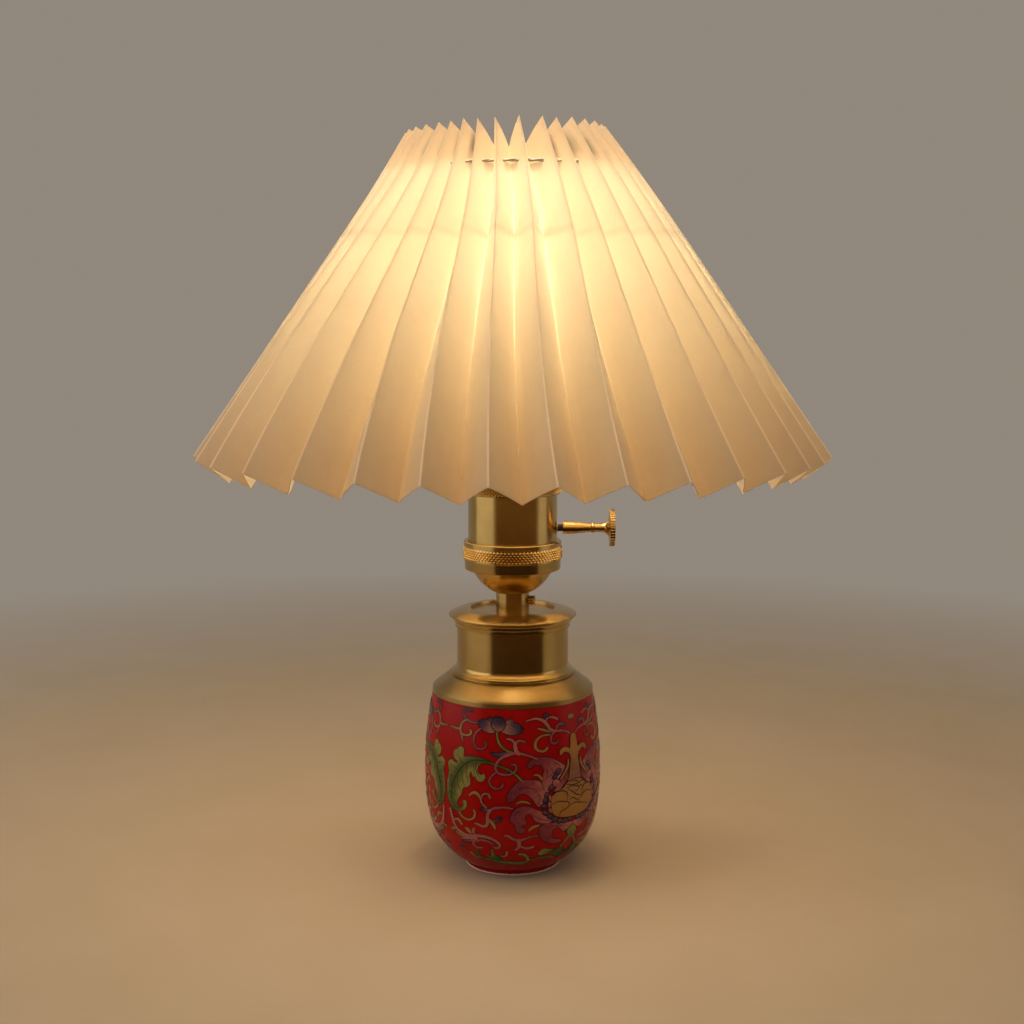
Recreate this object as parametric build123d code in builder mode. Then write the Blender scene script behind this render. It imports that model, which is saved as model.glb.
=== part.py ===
from build123d import *

import os
from math import acos, atan2, cos, degrees, hypot, pi, radians, sin, sqrt

# Table lamp: a glazed ceramic jar for a base, turned brass fittings, a screw lampholder with a
# turn switch, and a pleated shade that rests on a wire hoop.
# Millimetres, +Z up, origin on the table under the middle of the foot. The front is -Y, and the
# switch knob points along +X.

# Fits
thread_gap = 0.05  # screwed pieces, on the radius
running_gap = 0.05  # switch spindle in its bores, on the radius
slip_gap = 0.15  # sleeves and rims that slide together, on the radius
hang_gap = 0.3  # shade on its hoop, string in its holes, contact under the bulb
seam_gap = 0.1  # brass rim above the shoulder of the jar

# Ceramic jar
foot_radius = 23.1
foot_height = 3.4
foot_ring_width = 4.6
base_radius = 25.5  # where the round wall starts, beside the foot
haunch_radius = 41.15
haunch_height = 26.4
belly_radius = 42.85
belly_height = 46.5
shoulder_radius = 38.9
shoulder_height = 85.7
jar_wall = 4.0
recess_depth = 9.0  # hollow under the jar, inside the foot ring
floor_thickness = 4.0
rim_rebate = 1.0
rim_height = 1.8
rim_wall = 4.4

# Cord inlet at the back of the jar
inlet_height = 28.0
inlet_bore_radius = 3.2
grommet_wall = 1.4
grommet_flange_width = 1.6
grommet_flange_thickness = 1.2

# Threaded lamp pipe and its hardware
pipe_radius = 5.0
pipe_bore_radius = 3.6
pipe_tail = 1.0  # thread that stands out past each nut
pipe_hole_gap = 0.4
wire_hole_radius = 2.6
base_gasket_radius = 11.0
base_gasket_thickness = 1.0
base_washer_radius = 12.0
base_washer_thickness = 1.5
nut_flats = 14.0
base_nut_height = 4.0
dome_nut_height = 3.5

# Brass shoulder skirt on the mouth of the jar
mouth_gasket_thickness = 0.6
mouth_gasket_width = 3.0
skirt_band_wall = 0.95
skirt_band_height = 2.65
skirt_step = 0.4
skirt_cone_height = 4.9
skirt_top_radius = 29.6
skirt_top_step = 0.8
skirt_plate = 2.4
skirt_ring_width = 7.6  # flat ring that carries the collar, inwards from the top edge

# Brass collar tube
collar_radius = 26.95
collar_wall = 1.2
collar_height = 26.6
collar_bead_radius = 1.4
collar_bead_reach = 0.55

# Brass cap lid, heights above its lower lip
lid_overlap = 3.4
lid_lip_wall = 0.55
lid_step_height = 2.8
lid_step_reach = 0.85
lid_rim_height = 5.5
lid_rim_reach = 3.35
lid_rim_edge = 0.7
lid_ridge_radius = 20.5
lid_ridge_height = 8.6
lid_disc_height = 7.4
lid_plate = 2.0
lid_seat_width = 2.4

# Brass neck and its locking screw
neck_radius = 8.1
neck_height = 9.0
lock_screw_height = 5.2  # above the lid disc
lock_screw_turn = -15.0  # degrees from +X, towards the front
lock_screw_radius = 1.5
lock_head_radius = 2.2
lock_head_height = 2.8
lock_slot_width = 0.7
lock_slot_depth = 0.9

# Bulb with a 27 mm Edison cap
cap_radius = 13.0
cap_wall = 0.4
cap_length = 21.5
cap_plate = 0.5
bulb_tip_radius = 4.8
bulb_tip_height = 1.5
insulator_radius = 12.0
insulator_height = 3.0
globe_radius = 30.0
globe_rise = 53.0  # from the top of the cap to the centre of the globe
globe_wall = 1.0
globe_neck_depth = 7.0

# Lampholder
screw_shell_gap = 0.5  # between the bulb's cap and the screw shell
screw_shell_wall = 0.5
screw_shell_height = 26.0
screw_shell_flange = 4.5
sleeve_wall = 5.6
holder_shoulder = 0.6
holder_base_height = 9.5
holder_floor = 5.4
sleeve_height = 23.0  # above the brass shell
contact_thickness = 0.6
contact_width = 5.0
contact_length = 10.0
contact_height = 4.2

# Brass socket shell, dome and union ring
shell_wall = 0.95
dome_curve_radius = 21.0
dome_flat_margin = 0.2
dome_wall = 1.0
dome_height = 12.6
dome_flange_width = 2.15
ring_lip = 1.2
ring_band_wall = 1.65
ring_band_height = 4.9
ring_band_round = 0.8
ring_knurl_wall = 2.45
ring_knurl_height = 6.75
ring_top_wall = 2.05
ring_top_height = 2.25
ring_top_chamfer = 0.4

# Turn switch
housing_height = 24.0
housing_wall = 1.0
housing_block_height = 13.6
knob_height = 17.5  # spindle axis above the foot of the brass shell
spindle_radius = 1.7
spindle_end = 2.0  # inner end of the spindle, from the lamp's axis
bush_wall = 1.15
bush_depth = 9.0  # into the housing
bush_proud = 0.1
rotor_radius = 4.0
rotor_length = 6.0
rotor_gap = 0.5
rotor_notch_count = 4
rotor_notch_radius = 2.0
switch_leaf_thickness = 0.6
switch_leaf_width = 4.0
switch_leaf_tail = 4.0
holder_screw_radius = 1.3
holder_screw_head_radius = 2.3
holder_screw_head_height = 1.8
holder_screw_grip = 3.5
holder_screw_offset = 14.5

# Knob, lengths along its axis
knob_gap = 2.7  # black spindle that shows between the shell and the knob
knob_stem_radius = 3.0
knob_stem_length = 13.5
knob_waist_radius = 1.9
knob_bead_radius = 2.45
knob_bead_length = 1.8
knob_neck_radius = 2.0
knob_neck_length = 3.1
knob_flare_radius = 5.6
knob_flare_length = 4.1
knob_disc_radius = 8.9
knob_disc_thickness = 2.3
knob_flute_count = 40
knob_flute_radius = 0.45
knob_bore_depth = 10.0

# Shade rings and the wire carrier
shade_ring_wall = 3.65
shade_ring_height = 5.2
hub_thickness = 1.5
hub_width = 6.0
arm_count = 3
arm_wire_radius = 1.1
arm_run = 5.0  # level run of an arm beside the hub
arm_bend_radius = 4.0
hoop_wire_radius = 1.3
hoop_drop = 50.0  # down a valley fold from the top edge

# Pleated shade
pleat_count = 34
ridge_turn = 6.63  # degrees from the front to the first ridge on the right
shade_rim_radius = 150.0
shade_top_radius = 46.5
fold_length = 182.0
panel_width = 20.0
sheet_thickness = 0.4
shade_rise = 14.6  # lower ends of the ridges above the carrier hub
string_drop = 16.0  # down the folds from the top edge
string_radius = 0.6

# Radii that follow from the fits
rim_radius = shoulder_radius - rim_rebate
mouth_radius = rim_radius - rim_wall
recess_radius = foot_radius - foot_ring_width
pipe_hole_radius = pipe_radius + pipe_hole_gap
pipe_thread_radius = pipe_radius + thread_gap
inlet_hole_radius = inlet_bore_radius + grommet_wall
grommet_radius = inlet_hole_radius + grommet_flange_width
skirt_inner_radius = rim_radius + slip_gap
skirt_radius = skirt_inner_radius + skirt_band_wall
skirt_hole_radius = skirt_top_radius - skirt_ring_width
collar_inner_radius = collar_radius - collar_wall
lid_bore_radius = collar_radius + slip_gap
lid_lip_radius = lid_bore_radius + lid_lip_wall
screw_shell_radius = cap_radius + screw_shell_gap
holder_bore_radius = screw_shell_radius + screw_shell_wall + slip_gap
sleeve_radius = holder_bore_radius + sleeve_wall
holder_radius = sleeve_radius + holder_shoulder
shell_inner_radius = holder_radius + slip_gap
shell_radius = shell_inner_radius + shell_wall
ring_bore_radius = shell_radius + thread_gap
flange_radius = shell_radius - thread_gap
dome_side_radius = flange_radius - dome_flange_width
shade_ring_bore_radius = sleeve_radius + thread_gap
hub_bore_radius = sleeve_radius + slip_gap
hub_radius = hub_bore_radius + hub_width
spindle_bore_radius = spindle_radius + running_gap
bush_radius = spindle_bore_radius + bush_wall
bush_hole_radius = bush_radius + thread_gap
glass_neck_radius = cap_radius - cap_wall - slip_gap

# Heights, stacked from the table upwards
floor_top = recess_depth + floor_thickness
rim_top = shoulder_height + rim_height
washer_z = recess_depth - base_gasket_thickness - base_washer_thickness
base_nut_z = washer_z - base_nut_height
pipe_bottom = base_nut_z - pipe_tail
skirt_seat = rim_top + mouth_gasket_thickness
skirt_bottom = shoulder_height + seam_gap
skirt_cone_z = skirt_bottom + skirt_band_height + skirt_step
skirt_cone_top = skirt_cone_z + skirt_cone_height
skirt_top = skirt_cone_top + skirt_top_step
collar_top = skirt_top + collar_height
lid_bottom = collar_top - lid_overlap
lid_disc = lid_bottom + lid_disc_height
neck_top = lid_disc + neck_height
dome_floor = neck_top + dome_wall
pipe_top = dome_floor + dome_nut_height + pipe_tail
flange_bottom = neck_top + dome_height
shell_bottom = flange_bottom + dome_wall
ring_bottom = flange_bottom - ring_lip
ring_knurl_z = ring_bottom + ring_band_height
ring_knurl_top = ring_knurl_z + ring_knurl_height
ring_top = ring_knurl_top + ring_top_height
holder_bottom = shell_bottom + housing_height
block_bottom = holder_bottom - housing_block_height
shell_lip = holder_bottom + holder_base_height
shell_top = shell_lip + shell_wall
knob_z = shell_bottom + knob_height
contact_z = holder_bottom + holder_floor
sleeve_top = shell_top + sleeve_height
bulb_tip_z = contact_z + contact_height + hang_gap
insulator_z = bulb_tip_z + bulb_tip_height
cap_z = insulator_z + insulator_height
cap_top = cap_z + cap_length
globe_z = cap_top + globe_rise
hub_z = shell_top + shade_ring_height
upper_ring_z = hub_z + hub_thickness
shade_rim_z = hub_z + shade_rise


def finish(piece, name):
    """Label a finished piece and write it under its own name."""
    piece.part.label = name
    export_step(piece.part, f"parts/{name}.step")


os.makedirs("parts", exist_ok=True)


# Jar wall: three tangent arcs from the foot over the haunch and belly to the shoulder
def wall_arcs(inset, low_point, top_point):
    """Arcs of the wall, set in by a thickness, between a low and a top point."""
    upper = TangentArc((belly_radius - inset, belly_height), top_point, tangent=(0, 1))
    haunch_point = (haunch_radius - inset, haunch_height)
    belly = TangentArc((belly_radius - inset, belly_height), haunch_point, tangent=(0, -1))
    lower = TangentArc(belly @ 1, low_point, tangent=belly % 1)
    return upper, lower


with BuildPart() as ceramic_body:
    with BuildSketch(Plane.XZ):
        with BuildLine():
            wall_arcs(0, (base_radius, foot_height), (shoulder_radius, shoulder_height))
            Polyline(
                (base_radius, foot_height),
                (foot_radius, foot_height),
                (foot_radius, 0),
                (recess_radius, 0),
                (recess_radius, recess_depth),
                (pipe_hole_radius, recess_depth),
                (pipe_hole_radius, floor_top),
                (base_radius, floor_top),
            )
            wall_arcs(jar_wall, (base_radius, floor_top), (mouth_radius, shoulder_height))
            Polyline(
                (mouth_radius, shoulder_height),
                (mouth_radius, rim_top),
                (rim_radius, rim_top),
                (rim_radius, shoulder_height),
                (shoulder_radius, shoulder_height),
            )
        make_face()
    revolve(axis=Axis.Z)
    with BuildSketch(Plane.XZ):
        with Locations((0, inlet_height)):
            Circle(inlet_hole_radius)
    extrude(amount=-2 * belly_radius, mode=Mode.SUBTRACT)
finish(ceramic_body, "ceramic_body")


# Rubber grommet: a flanged sleeve moulded to both faces of the wall
with BuildPart() as cord_grommet:
    grommet_inset = jar_wall + grommet_flange_thickness
    grommet_top = (shoulder_radius + grommet_flange_thickness, shoulder_height)
    with BuildSketch(Plane.XZ):
        with BuildLine():
            wall_arcs(
                -grommet_flange_thickness,
                (base_radius + grommet_flange_thickness, foot_height),
                grommet_top,
            )
            wall_arcs(
                grommet_inset,
                (base_radius - grommet_inset, foot_height),
                (shoulder_radius - grommet_inset, shoulder_height),
            )
            Line(
                (base_radius - grommet_inset, foot_height),
                (base_radius + grommet_flange_thickness, foot_height),
            )
            Line((shoulder_radius - grommet_inset, shoulder_height), grommet_top)
        make_face()
    revolve(axis=Axis.Z)
    with BuildSketch(Plane.XZ):
        with Locations((0, inlet_height)):
            Circle(grommet_radius)
    extrude(amount=-2 * belly_radius, mode=Mode.INTERSECT)
    add(ceramic_body.part, mode=Mode.SUBTRACT)
    with BuildSketch(Plane.XZ):
        with Locations((0, inlet_height)):
            Circle(inlet_bore_radius)
    extrude(amount=-2 * belly_radius, mode=Mode.SUBTRACT)
finish(cord_grommet, "cord_grommet")


# Clamp under the jar
with BuildPart() as base_gasket:
    with BuildSketch(Plane.XY.offset(recess_depth - base_gasket_thickness)):
        Circle(base_gasket_radius)
        Circle(pipe_hole_radius, mode=Mode.SUBTRACT)
    extrude(amount=base_gasket_thickness)
finish(base_gasket, "base_gasket")

with BuildPart() as base_washer:
    with BuildSketch(Plane.XY.offset(washer_z)):
        Circle(base_washer_radius)
        Circle(pipe_hole_radius, mode=Mode.SUBTRACT)
    extrude(amount=base_washer_thickness)
finish(base_washer, "base_washer")

with BuildPart() as base_nut:
    with BuildSketch(Plane.XY.offset(base_nut_z)):
        RegularPolygon(nut_flats / 2, 6, major_radius=False)
        Circle(pipe_thread_radius, mode=Mode.SUBTRACT)
    extrude(amount=base_nut_height)
finish(base_nut, "base_nut")

with BuildPart() as lamp_pipe:
    with BuildSketch(Plane.XY.offset(pipe_bottom)):
        Circle(pipe_radius)
        Circle(pipe_bore_radius, mode=Mode.SUBTRACT)
    extrude(amount=pipe_top - pipe_bottom)
    with BuildSketch(Plane.XZ):
        with Locations((0, inlet_height)):
            Circle(wire_hole_radius)
    extrude(amount=-2 * pipe_radius, mode=Mode.SUBTRACT)
finish(lamp_pipe, "lamp_pipe")

with BuildPart() as dome_nut:
    with BuildSketch(Plane.XY.offset(dome_floor)):
        RegularPolygon(nut_flats / 2, 6, major_radius=False)
        Circle(pipe_thread_radius, mode=Mode.SUBTRACT)
    extrude(amount=dome_nut_height)
finish(dome_nut, "dome_nut")


# Brass cap of the jar
with BuildPart() as mouth_gasket:
    with BuildSketch(Plane.XY.offset(rim_top)):
        Circle(rim_radius)
        Circle(rim_radius - mouth_gasket_width, mode=Mode.SUBTRACT)
    extrude(amount=mouth_gasket_thickness)
finish(mouth_gasket, "mouth_gasket")

with BuildPart() as shoulder_skirt:
    skirt_cone_radius = skirt_radius - skirt_step
    skirt_slope = skirt_cone_height / (skirt_cone_radius - skirt_top_radius)
    skirt_foot_radius = rim_radius - mouth_gasket_width
    skirt_under_z = skirt_cone_z + (skirt_cone_radius - skirt_foot_radius) * skirt_slope - skirt_plate
    with BuildSketch(Plane.XZ):
        with BuildLine():
            Polyline(
                (skirt_inner_radius, skirt_seat),
                (skirt_inner_radius, skirt_bottom),
                (skirt_radius, skirt_bottom),
                (skirt_radius, skirt_bottom + skirt_band_height),
                (skirt_cone_radius, skirt_cone_z),
                (skirt_top_radius, skirt_cone_top),
                (skirt_top_radius, skirt_top),
                (skirt_hole_radius, skirt_top),
                (skirt_hole_radius, skirt_top - skirt_plate),
                (skirt_top_radius, skirt_top - skirt_plate),
                (skirt_foot_radius, max(skirt_under_z, skirt_seat)),
                (skirt_foot_radius, skirt_seat),
                close=True,
            )
        make_face()
    revolve(axis=Axis.Z)
finish(shoulder_skirt, "shoulder_skirt")

with BuildPart() as collar_tube:
    bead_centre_radius = collar_radius + collar_bead_reach
    bead_top = skirt_top + 2 * collar_bead_radius
    with BuildSketch(Plane.XZ):
        with BuildLine():
            ThreePointArc(
                (bead_centre_radius, skirt_top),
                (bead_centre_radius + collar_bead_radius, skirt_top + collar_bead_radius),
                (bead_centre_radius, bead_top),
            )
            Polyline(
                (bead_centre_radius, bead_top),
                (collar_radius, bead_top),
                (collar_radius, collar_top),
                (collar_inner_radius, collar_top),
                (collar_inner_radius, skirt_top),
                (bead_centre_radius, skirt_top),
            )
        make_face()
    revolve(axis=Axis.Z)
finish(collar_tube, "collar_tube")

with BuildPart() as cap_lid:
    step_radius = lid_lip_radius + lid_step_reach
    step_z = lid_bottom + lid_step_height
    rim_edge_radius = lid_lip_radius + lid_rim_reach
    rim_edge_z = lid_bottom + lid_rim_height
    ledge = lid_rim_edge / 2
    with BuildSketch(Plane.XZ):
        with BuildLine():
            lip_curve = TangentArc((lid_lip_radius, lid_bottom), (step_radius, step_z), tangent=(0, 1))
            Line(lip_curve @ 1, (step_radius + ledge, step_z))
            flare = TangentArc(
                (step_radius + ledge, step_z), (rim_edge_radius - ledge, rim_edge_z), tangent=(0, 1)
            )
            ThreePointArc(
                flare @ 1,
                (rim_edge_radius, rim_edge_z + ledge),
                (rim_edge_radius - ledge, rim_edge_z + lid_rim_edge),
            )
            Polyline(
                (rim_edge_radius - ledge, rim_edge_z + lid_rim_edge),
                (lid_ridge_radius, lid_bottom + lid_ridge_height),
                (lid_ridge_radius - ledge, lid_disc),
                (pipe_thread_radius, lid_disc),
                (pipe_thread_radius, lid_disc - lid_plate),
                (collar_radius - lid_seat_width, lid_disc - lid_plate),
                (collar_radius - lid_seat_width, collar_top),
                (lid_bore_radius, collar_top),
                (lid_bore_radius, lid_bottom),
                (lid_lip_radius, lid_bottom),
            )
        make_face()
    revolve(axis=Axis.Z)
finish(cap_lid, "cap_lid")


# Neck between the lid and the lampholder, with its locking screw
lock_direction = (cos(radians(lock_screw_turn)), sin(radians(lock_screw_turn)), 0)
lock_plane = Plane(origin=(0, 0, lid_disc + lock_screw_height), x_dir=(0, 0, 1), z_dir=lock_direction)

with BuildPart() as socket_neck:
    with BuildSketch(Plane.XY.offset(lid_disc)):
        Circle(neck_radius)
        Circle(pipe_thread_radius, mode=Mode.SUBTRACT)
    extrude(amount=neck_height)
    with BuildSketch(lock_plane):
        Circle(lock_screw_radius + thread_gap)
    extrude(amount=neck_radius, mode=Mode.SUBTRACT)
finish(socket_neck, "socket_neck")

with BuildPart() as locking_screw:
    with BuildSketch(lock_plane.offset(pipe_radius + thread_gap)):
        Circle(lock_screw_radius)
    extrude(amount=neck_radius - pipe_radius)
    with BuildSketch(lock_plane.offset(neck_radius)):
        Circle(lock_head_radius)
    extrude(amount=lock_head_height)
    head_top = lock_plane.offset(neck_radius + lock_head_height)
    with BuildSketch(head_top):
        Rectangle(2 * lock_head_radius, lock_slot_width)
    extrude(amount=-lock_slot_depth, mode=Mode.SUBTRACT)
finish(locking_screw, "locking_screw")


# Lower half of the lampholder casing and the ring that joins it to the shell
with BuildPart() as socket_dome:
    flat_radius = neck_radius + dome_flat_margin
    curve_z = neck_top + sqrt(dome_curve_radius**2 - flat_radius**2)
    inner_curve = dome_curve_radius - dome_wall
    inner_flat_radius = sqrt(inner_curve**2 - (curve_z - dome_floor) ** 2)
    inner_side_radius = dome_side_radius - dome_wall
    flat_angle = degrees(acos(flat_radius / dome_curve_radius))
    side_angle = degrees(acos(dome_side_radius / dome_curve_radius))
    inner_flat_angle = degrees(acos(inner_flat_radius / inner_curve))
    inner_side_angle = degrees(acos(inner_side_radius / inner_curve))
    with BuildSketch(Plane.XZ):
        with BuildLine():
            bowl = CenterArc((0, curve_z), dome_curve_radius, -flat_angle, flat_angle - side_angle)
            bowl_inside = CenterArc(
                (0, curve_z), inner_curve, -inner_flat_angle, inner_flat_angle - inner_side_angle
            )
            Polyline(
                bowl @ 1,
                (dome_side_radius, flange_bottom),
                (flange_radius, flange_bottom),
                (flange_radius, shell_bottom),
                (inner_side_radius, shell_bottom),
                bowl_inside @ 1,
            )
            Polyline(
                bowl @ 0,
                (pipe_thread_radius, neck_top),
                (pipe_thread_radius, dome_floor),
                bowl_inside @ 0,
            )
        make_face()
    revolve(axis=Axis.Z)
finish(socket_dome, "socket_dome")

with BuildPart() as union_ring:
    band_radius = ring_bore_radius + ring_band_wall
    knurl_radius = ring_bore_radius + ring_knurl_wall
    top_radius = ring_bore_radius + ring_top_wall
    lip_radius = dome_side_radius + slip_gap
    with BuildSketch(Plane.XZ):
        with BuildLine():
            TangentArc(
                (band_radius, ring_bottom + ring_band_round),
                (band_radius - ring_band_round, ring_bottom),
                tangent=(0, -1),
            )
            Polyline(
                (band_radius - ring_band_round, ring_bottom),
                (lip_radius, ring_bottom),
                (lip_radius, flange_bottom),
                (ring_bore_radius, flange_bottom),
                (ring_bore_radius, ring_top),
                (top_radius - ring_top_chamfer, ring_top),
                (top_radius, ring_top - ring_top_chamfer),
                (top_radius, ring_knurl_top),
                (knurl_radius, ring_knurl_top),
                (knurl_radius, ring_knurl_z),
                (band_radius, ring_knurl_z),
                (band_radius, ring_bottom + ring_band_round),
            )
        make_face()
    revolve(axis=Axis.Z)
finish(union_ring, "union_ring")


# Upper casing: a straight shell with an inturned lip and the hole for the switch bush
knob_plane = Plane(origin=(0, 0, knob_z), x_dir=(0, 1, 0), z_dir=(1, 0, 0))

with BuildPart() as socket_shell:
    with BuildSketch(Plane.XZ):
        with BuildLine():
            Polyline(
                (shell_inner_radius, shell_bottom),
                (shell_radius, shell_bottom),
                (shell_radius, shell_top),
                (hub_bore_radius, shell_top),
                (hub_bore_radius, shell_lip),
                (shell_inner_radius, shell_lip),
                close=True,
            )
        make_face()
    revolve(axis=Axis.Z)
    with BuildSketch(knob_plane):
        Circle(bush_hole_radius)
    extrude(amount=2 * shell_radius, mode=Mode.SUBTRACT)
finish(socket_shell, "socket_shell")


# Switch housing: an inverted cup that stands on the dome's flange and carries the lampholder
cavity_half_width = rotor_radius + rotor_gap + switch_leaf_thickness
cavity_length = rotor_length + 2 * rotor_gap
cavity_top = knob_z + rotor_radius + rotor_gap
cavity_x = spindle_end + rotor_length / 2
bush_inner_x = holder_radius - bush_depth
screw_plane = Plane.XY.offset(block_bottom)

with BuildPart() as switch_housing:
    with BuildSketch(Plane.XY.offset(shell_bottom)):
        Circle(holder_radius)
    extrude(amount=housing_height)
    with BuildSketch(Plane.XY.offset(shell_bottom)):
        Circle(holder_radius - housing_wall)
    extrude(amount=block_bottom - shell_bottom, mode=Mode.SUBTRACT)
    with BuildSketch(screw_plane):
        with Locations((cavity_x, 0)):
            Rectangle(cavity_length, 2 * cavity_half_width)
    extrude(amount=cavity_top - block_bottom, mode=Mode.SUBTRACT)
    with BuildSketch(knob_plane.offset(cavity_x)):
        Circle(spindle_bore_radius)
    extrude(amount=2 * shell_radius, mode=Mode.SUBTRACT)
    with BuildSketch(knob_plane.offset(bush_inner_x)):
        Circle(bush_hole_radius)
    extrude(amount=2 * shell_radius, mode=Mode.SUBTRACT)
    with BuildSketch(screw_plane):
        with Locations((0, holder_screw_offset), (0, -holder_screw_offset)):
            Circle(holder_screw_radius + thread_gap)
    extrude(amount=housing_block_height, mode=Mode.SUBTRACT)
finish(switch_housing, "switch_housing")

with BuildPart() as switch_bush:
    with BuildSketch(knob_plane.offset(bush_inner_x)):
        Circle(bush_radius)
        Circle(spindle_bore_radius, mode=Mode.SUBTRACT)
    extrude(amount=shell_radius + bush_proud - bush_inner_x)
finish(switch_bush, "switch_bush")

with BuildPart() as switch_leaves:
    leaf_y = cavity_half_width - switch_leaf_thickness / 2
    with BuildSketch(screw_plane.offset(-switch_leaf_tail)):
        with Locations((cavity_x, leaf_y), (cavity_x, -leaf_y)):
            Rectangle(switch_leaf_width, switch_leaf_thickness)
    extrude(amount=cavity_top - block_bottom + switch_leaf_tail)
finish(switch_leaves, "switch_leaves")

with BuildPart() as holder_screws:
    with BuildSketch(screw_plane):
        with Locations((0, holder_screw_offset), (0, -holder_screw_offset)):
            Circle(holder_screw_radius)
    extrude(amount=housing_block_height + holder_screw_grip)
    with BuildSketch(screw_plane):
        with Locations((0, holder_screw_offset), (0, -holder_screw_offset)):
            Circle(holder_screw_head_radius)
    extrude(amount=-holder_screw_head_height)
finish(holder_screws, "holder_screws")


# Turning parts of the switch
knob_x = shell_radius + knob_gap
stem_end = knob_x + knob_stem_length
bead_end = stem_end + knob_bead_length
neck_end = bead_end + knob_neck_length
flare_end = neck_end + knob_flare_length
disc_end = flare_end + knob_disc_thickness

with BuildPart() as switch_rotor:
    with BuildSketch(knob_plane.offset(spindle_end)):
        Circle(rotor_radius)
        Circle(spindle_radius, mode=Mode.SUBTRACT)
        with PolarLocations(rotor_radius, rotor_notch_count):
            Circle(rotor_notch_radius, mode=Mode.SUBTRACT)
    extrude(amount=rotor_length)
finish(switch_rotor, "switch_rotor")

with BuildPart() as switch_spindle:
    with BuildSketch(knob_plane.offset(spindle_end)):
        Circle(spindle_radius)
    extrude(amount=knob_x + knob_bore_depth - spindle_end)
finish(switch_spindle, "switch_spindle")

with BuildPart() as switch_knob:
    with BuildSketch(Plane.XZ):
        with BuildLine():
            stem = Line((knob_x, knob_z), (knob_x, knob_z + knob_stem_radius))
            belly_of_stem = TangentArc(
                stem @ 1, (stem_end, knob_z + knob_waist_radius), tangent=(1, 0)
            )
            bead = ThreePointArc(
                belly_of_stem @ 1,
                (stem_end + knob_bead_length / 2, knob_z + knob_bead_radius),
                (bead_end, knob_z + knob_neck_radius),
            )
            neck = Line(bead @ 1, (neck_end, knob_z + knob_neck_radius))
            TangentArc(neck @ 1, (flare_end, knob_z + knob_flare_radius), tangent=(1, 0))
            Polyline(
                (flare_end, knob_z + knob_flare_radius),
                (flare_end, knob_z + knob_disc_radius),
                (disc_end, knob_z + knob_disc_radius),
                (disc_end, knob_z),
                (knob_x, knob_z),
            )
        make_face()
    revolve(axis=Axis((0, 0, knob_z), (1, 0, 0)))
    with BuildSketch(knob_plane.offset(flare_end)):
        with PolarLocations(knob_disc_radius, knob_flute_count):
            Circle(knob_flute_radius)
    extrude(amount=knob_disc_thickness, mode=Mode.SUBTRACT)
    with BuildSketch(knob_plane.offset(knob_x)):
        Circle(spindle_radius)
    extrude(amount=knob_bore_depth, mode=Mode.SUBTRACT)
finish(switch_knob, "switch_knob")


# Lampholder: porcelain sleeve, screw shell and centre contact
with BuildPart() as lampholder_body:
    with BuildSketch(Plane.XZ):
        with BuildLine():
            Polyline(
                (0, holder_bottom),
                (holder_radius, holder_bottom),
                (holder_radius, shell_lip),
                (sleeve_radius, shell_lip),
                (sleeve_radius, sleeve_top),
                (holder_bore_radius, sleeve_top),
                (holder_bore_radius, contact_z),
                (0, contact_z),
                close=True,
            )
        make_face()
    revolve(axis=Axis.Z)
    with BuildSketch(Plane.XY.offset(holder_bottom)):
        with Locations((0, holder_screw_offset), (0, -holder_screw_offset)):
            Circle(holder_screw_radius + thread_gap)
    extrude(amount=holder_screw_grip, mode=Mode.SUBTRACT)
finish(lampholder_body, "lampholder_body")

with BuildPart() as screw_shell:
    outer_radius = screw_shell_radius + screw_shell_wall
    with BuildSketch(Plane.XZ):
        with BuildLine():
            Polyline(
                (outer_radius - screw_shell_flange, contact_z),
                (outer_radius, contact_z),
                (outer_radius, contact_z + screw_shell_height),
                (screw_shell_radius, contact_z + screw_shell_height),
                (screw_shell_radius, contact_z + screw_shell_wall),
                (outer_radius - screw_shell_flange, contact_z + screw_shell_wall),
                close=True,
            )
        make_face()
    revolve(axis=Axis.Z)
finish(screw_shell, "screw_shell")

with BuildPart() as centre_contact:
    heel = contact_length / 2
    with BuildSketch(Plane.XZ):
        with BuildLine():
            Polyline(
                (-heel, contact_z),
                (heel, contact_z),
                (heel, contact_z + contact_thickness),
                (0, contact_z + contact_height),
                (-heel / 2, contact_z + contact_height),
                (-heel / 2, contact_z + contact_height - contact_thickness),
                (-contact_thickness, contact_z + contact_height - contact_thickness),
                (heel - 2 * contact_thickness, contact_z + contact_thickness),
                (-heel, contact_z + contact_thickness),
                close=True,
            )
        make_face()
    extrude(amount=contact_width / 2, both=True)
finish(centre_contact, "centre_contact")


# Bulb
with BuildPart() as bulb_contact:
    with BuildSketch(Plane.XZ):
        with BuildLine():
            TangentArc((0, bulb_tip_z), (bulb_tip_radius, insulator_z), tangent=(1, 0))
            Polyline((bulb_tip_radius, insulator_z), (0, insulator_z), (0, bulb_tip_z))
        make_face()
    revolve(axis=Axis.Z)
finish(bulb_contact, "bulb_contact")

with BuildPart() as bulb_insulator:
    with BuildSketch(Plane.XZ):
        with BuildLine():
            Polyline(
                (0, insulator_z),
                (bulb_tip_radius, insulator_z),
                (insulator_radius, cap_z),
                (0, cap_z),
                close=True,
            )
        make_face()
    revolve(axis=Axis.Z)
finish(bulb_insulator, "bulb_insulator")

with BuildPart() as bulb_cap:
    with BuildSketch(Plane.XZ):
        with BuildLine():
            Polyline(
                (bulb_tip_radius, cap_z),
                (cap_radius, cap_z),
                (cap_radius, cap_top),
                (cap_radius - cap_wall, cap_top),
                (cap_radius - cap_wall, cap_z + cap_plate),
                (bulb_tip_radius, cap_z + cap_plate),
                close=True,
            )
        make_face()
    revolve(axis=Axis.Z)
finish(bulb_cap, "bulb_cap")


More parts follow.
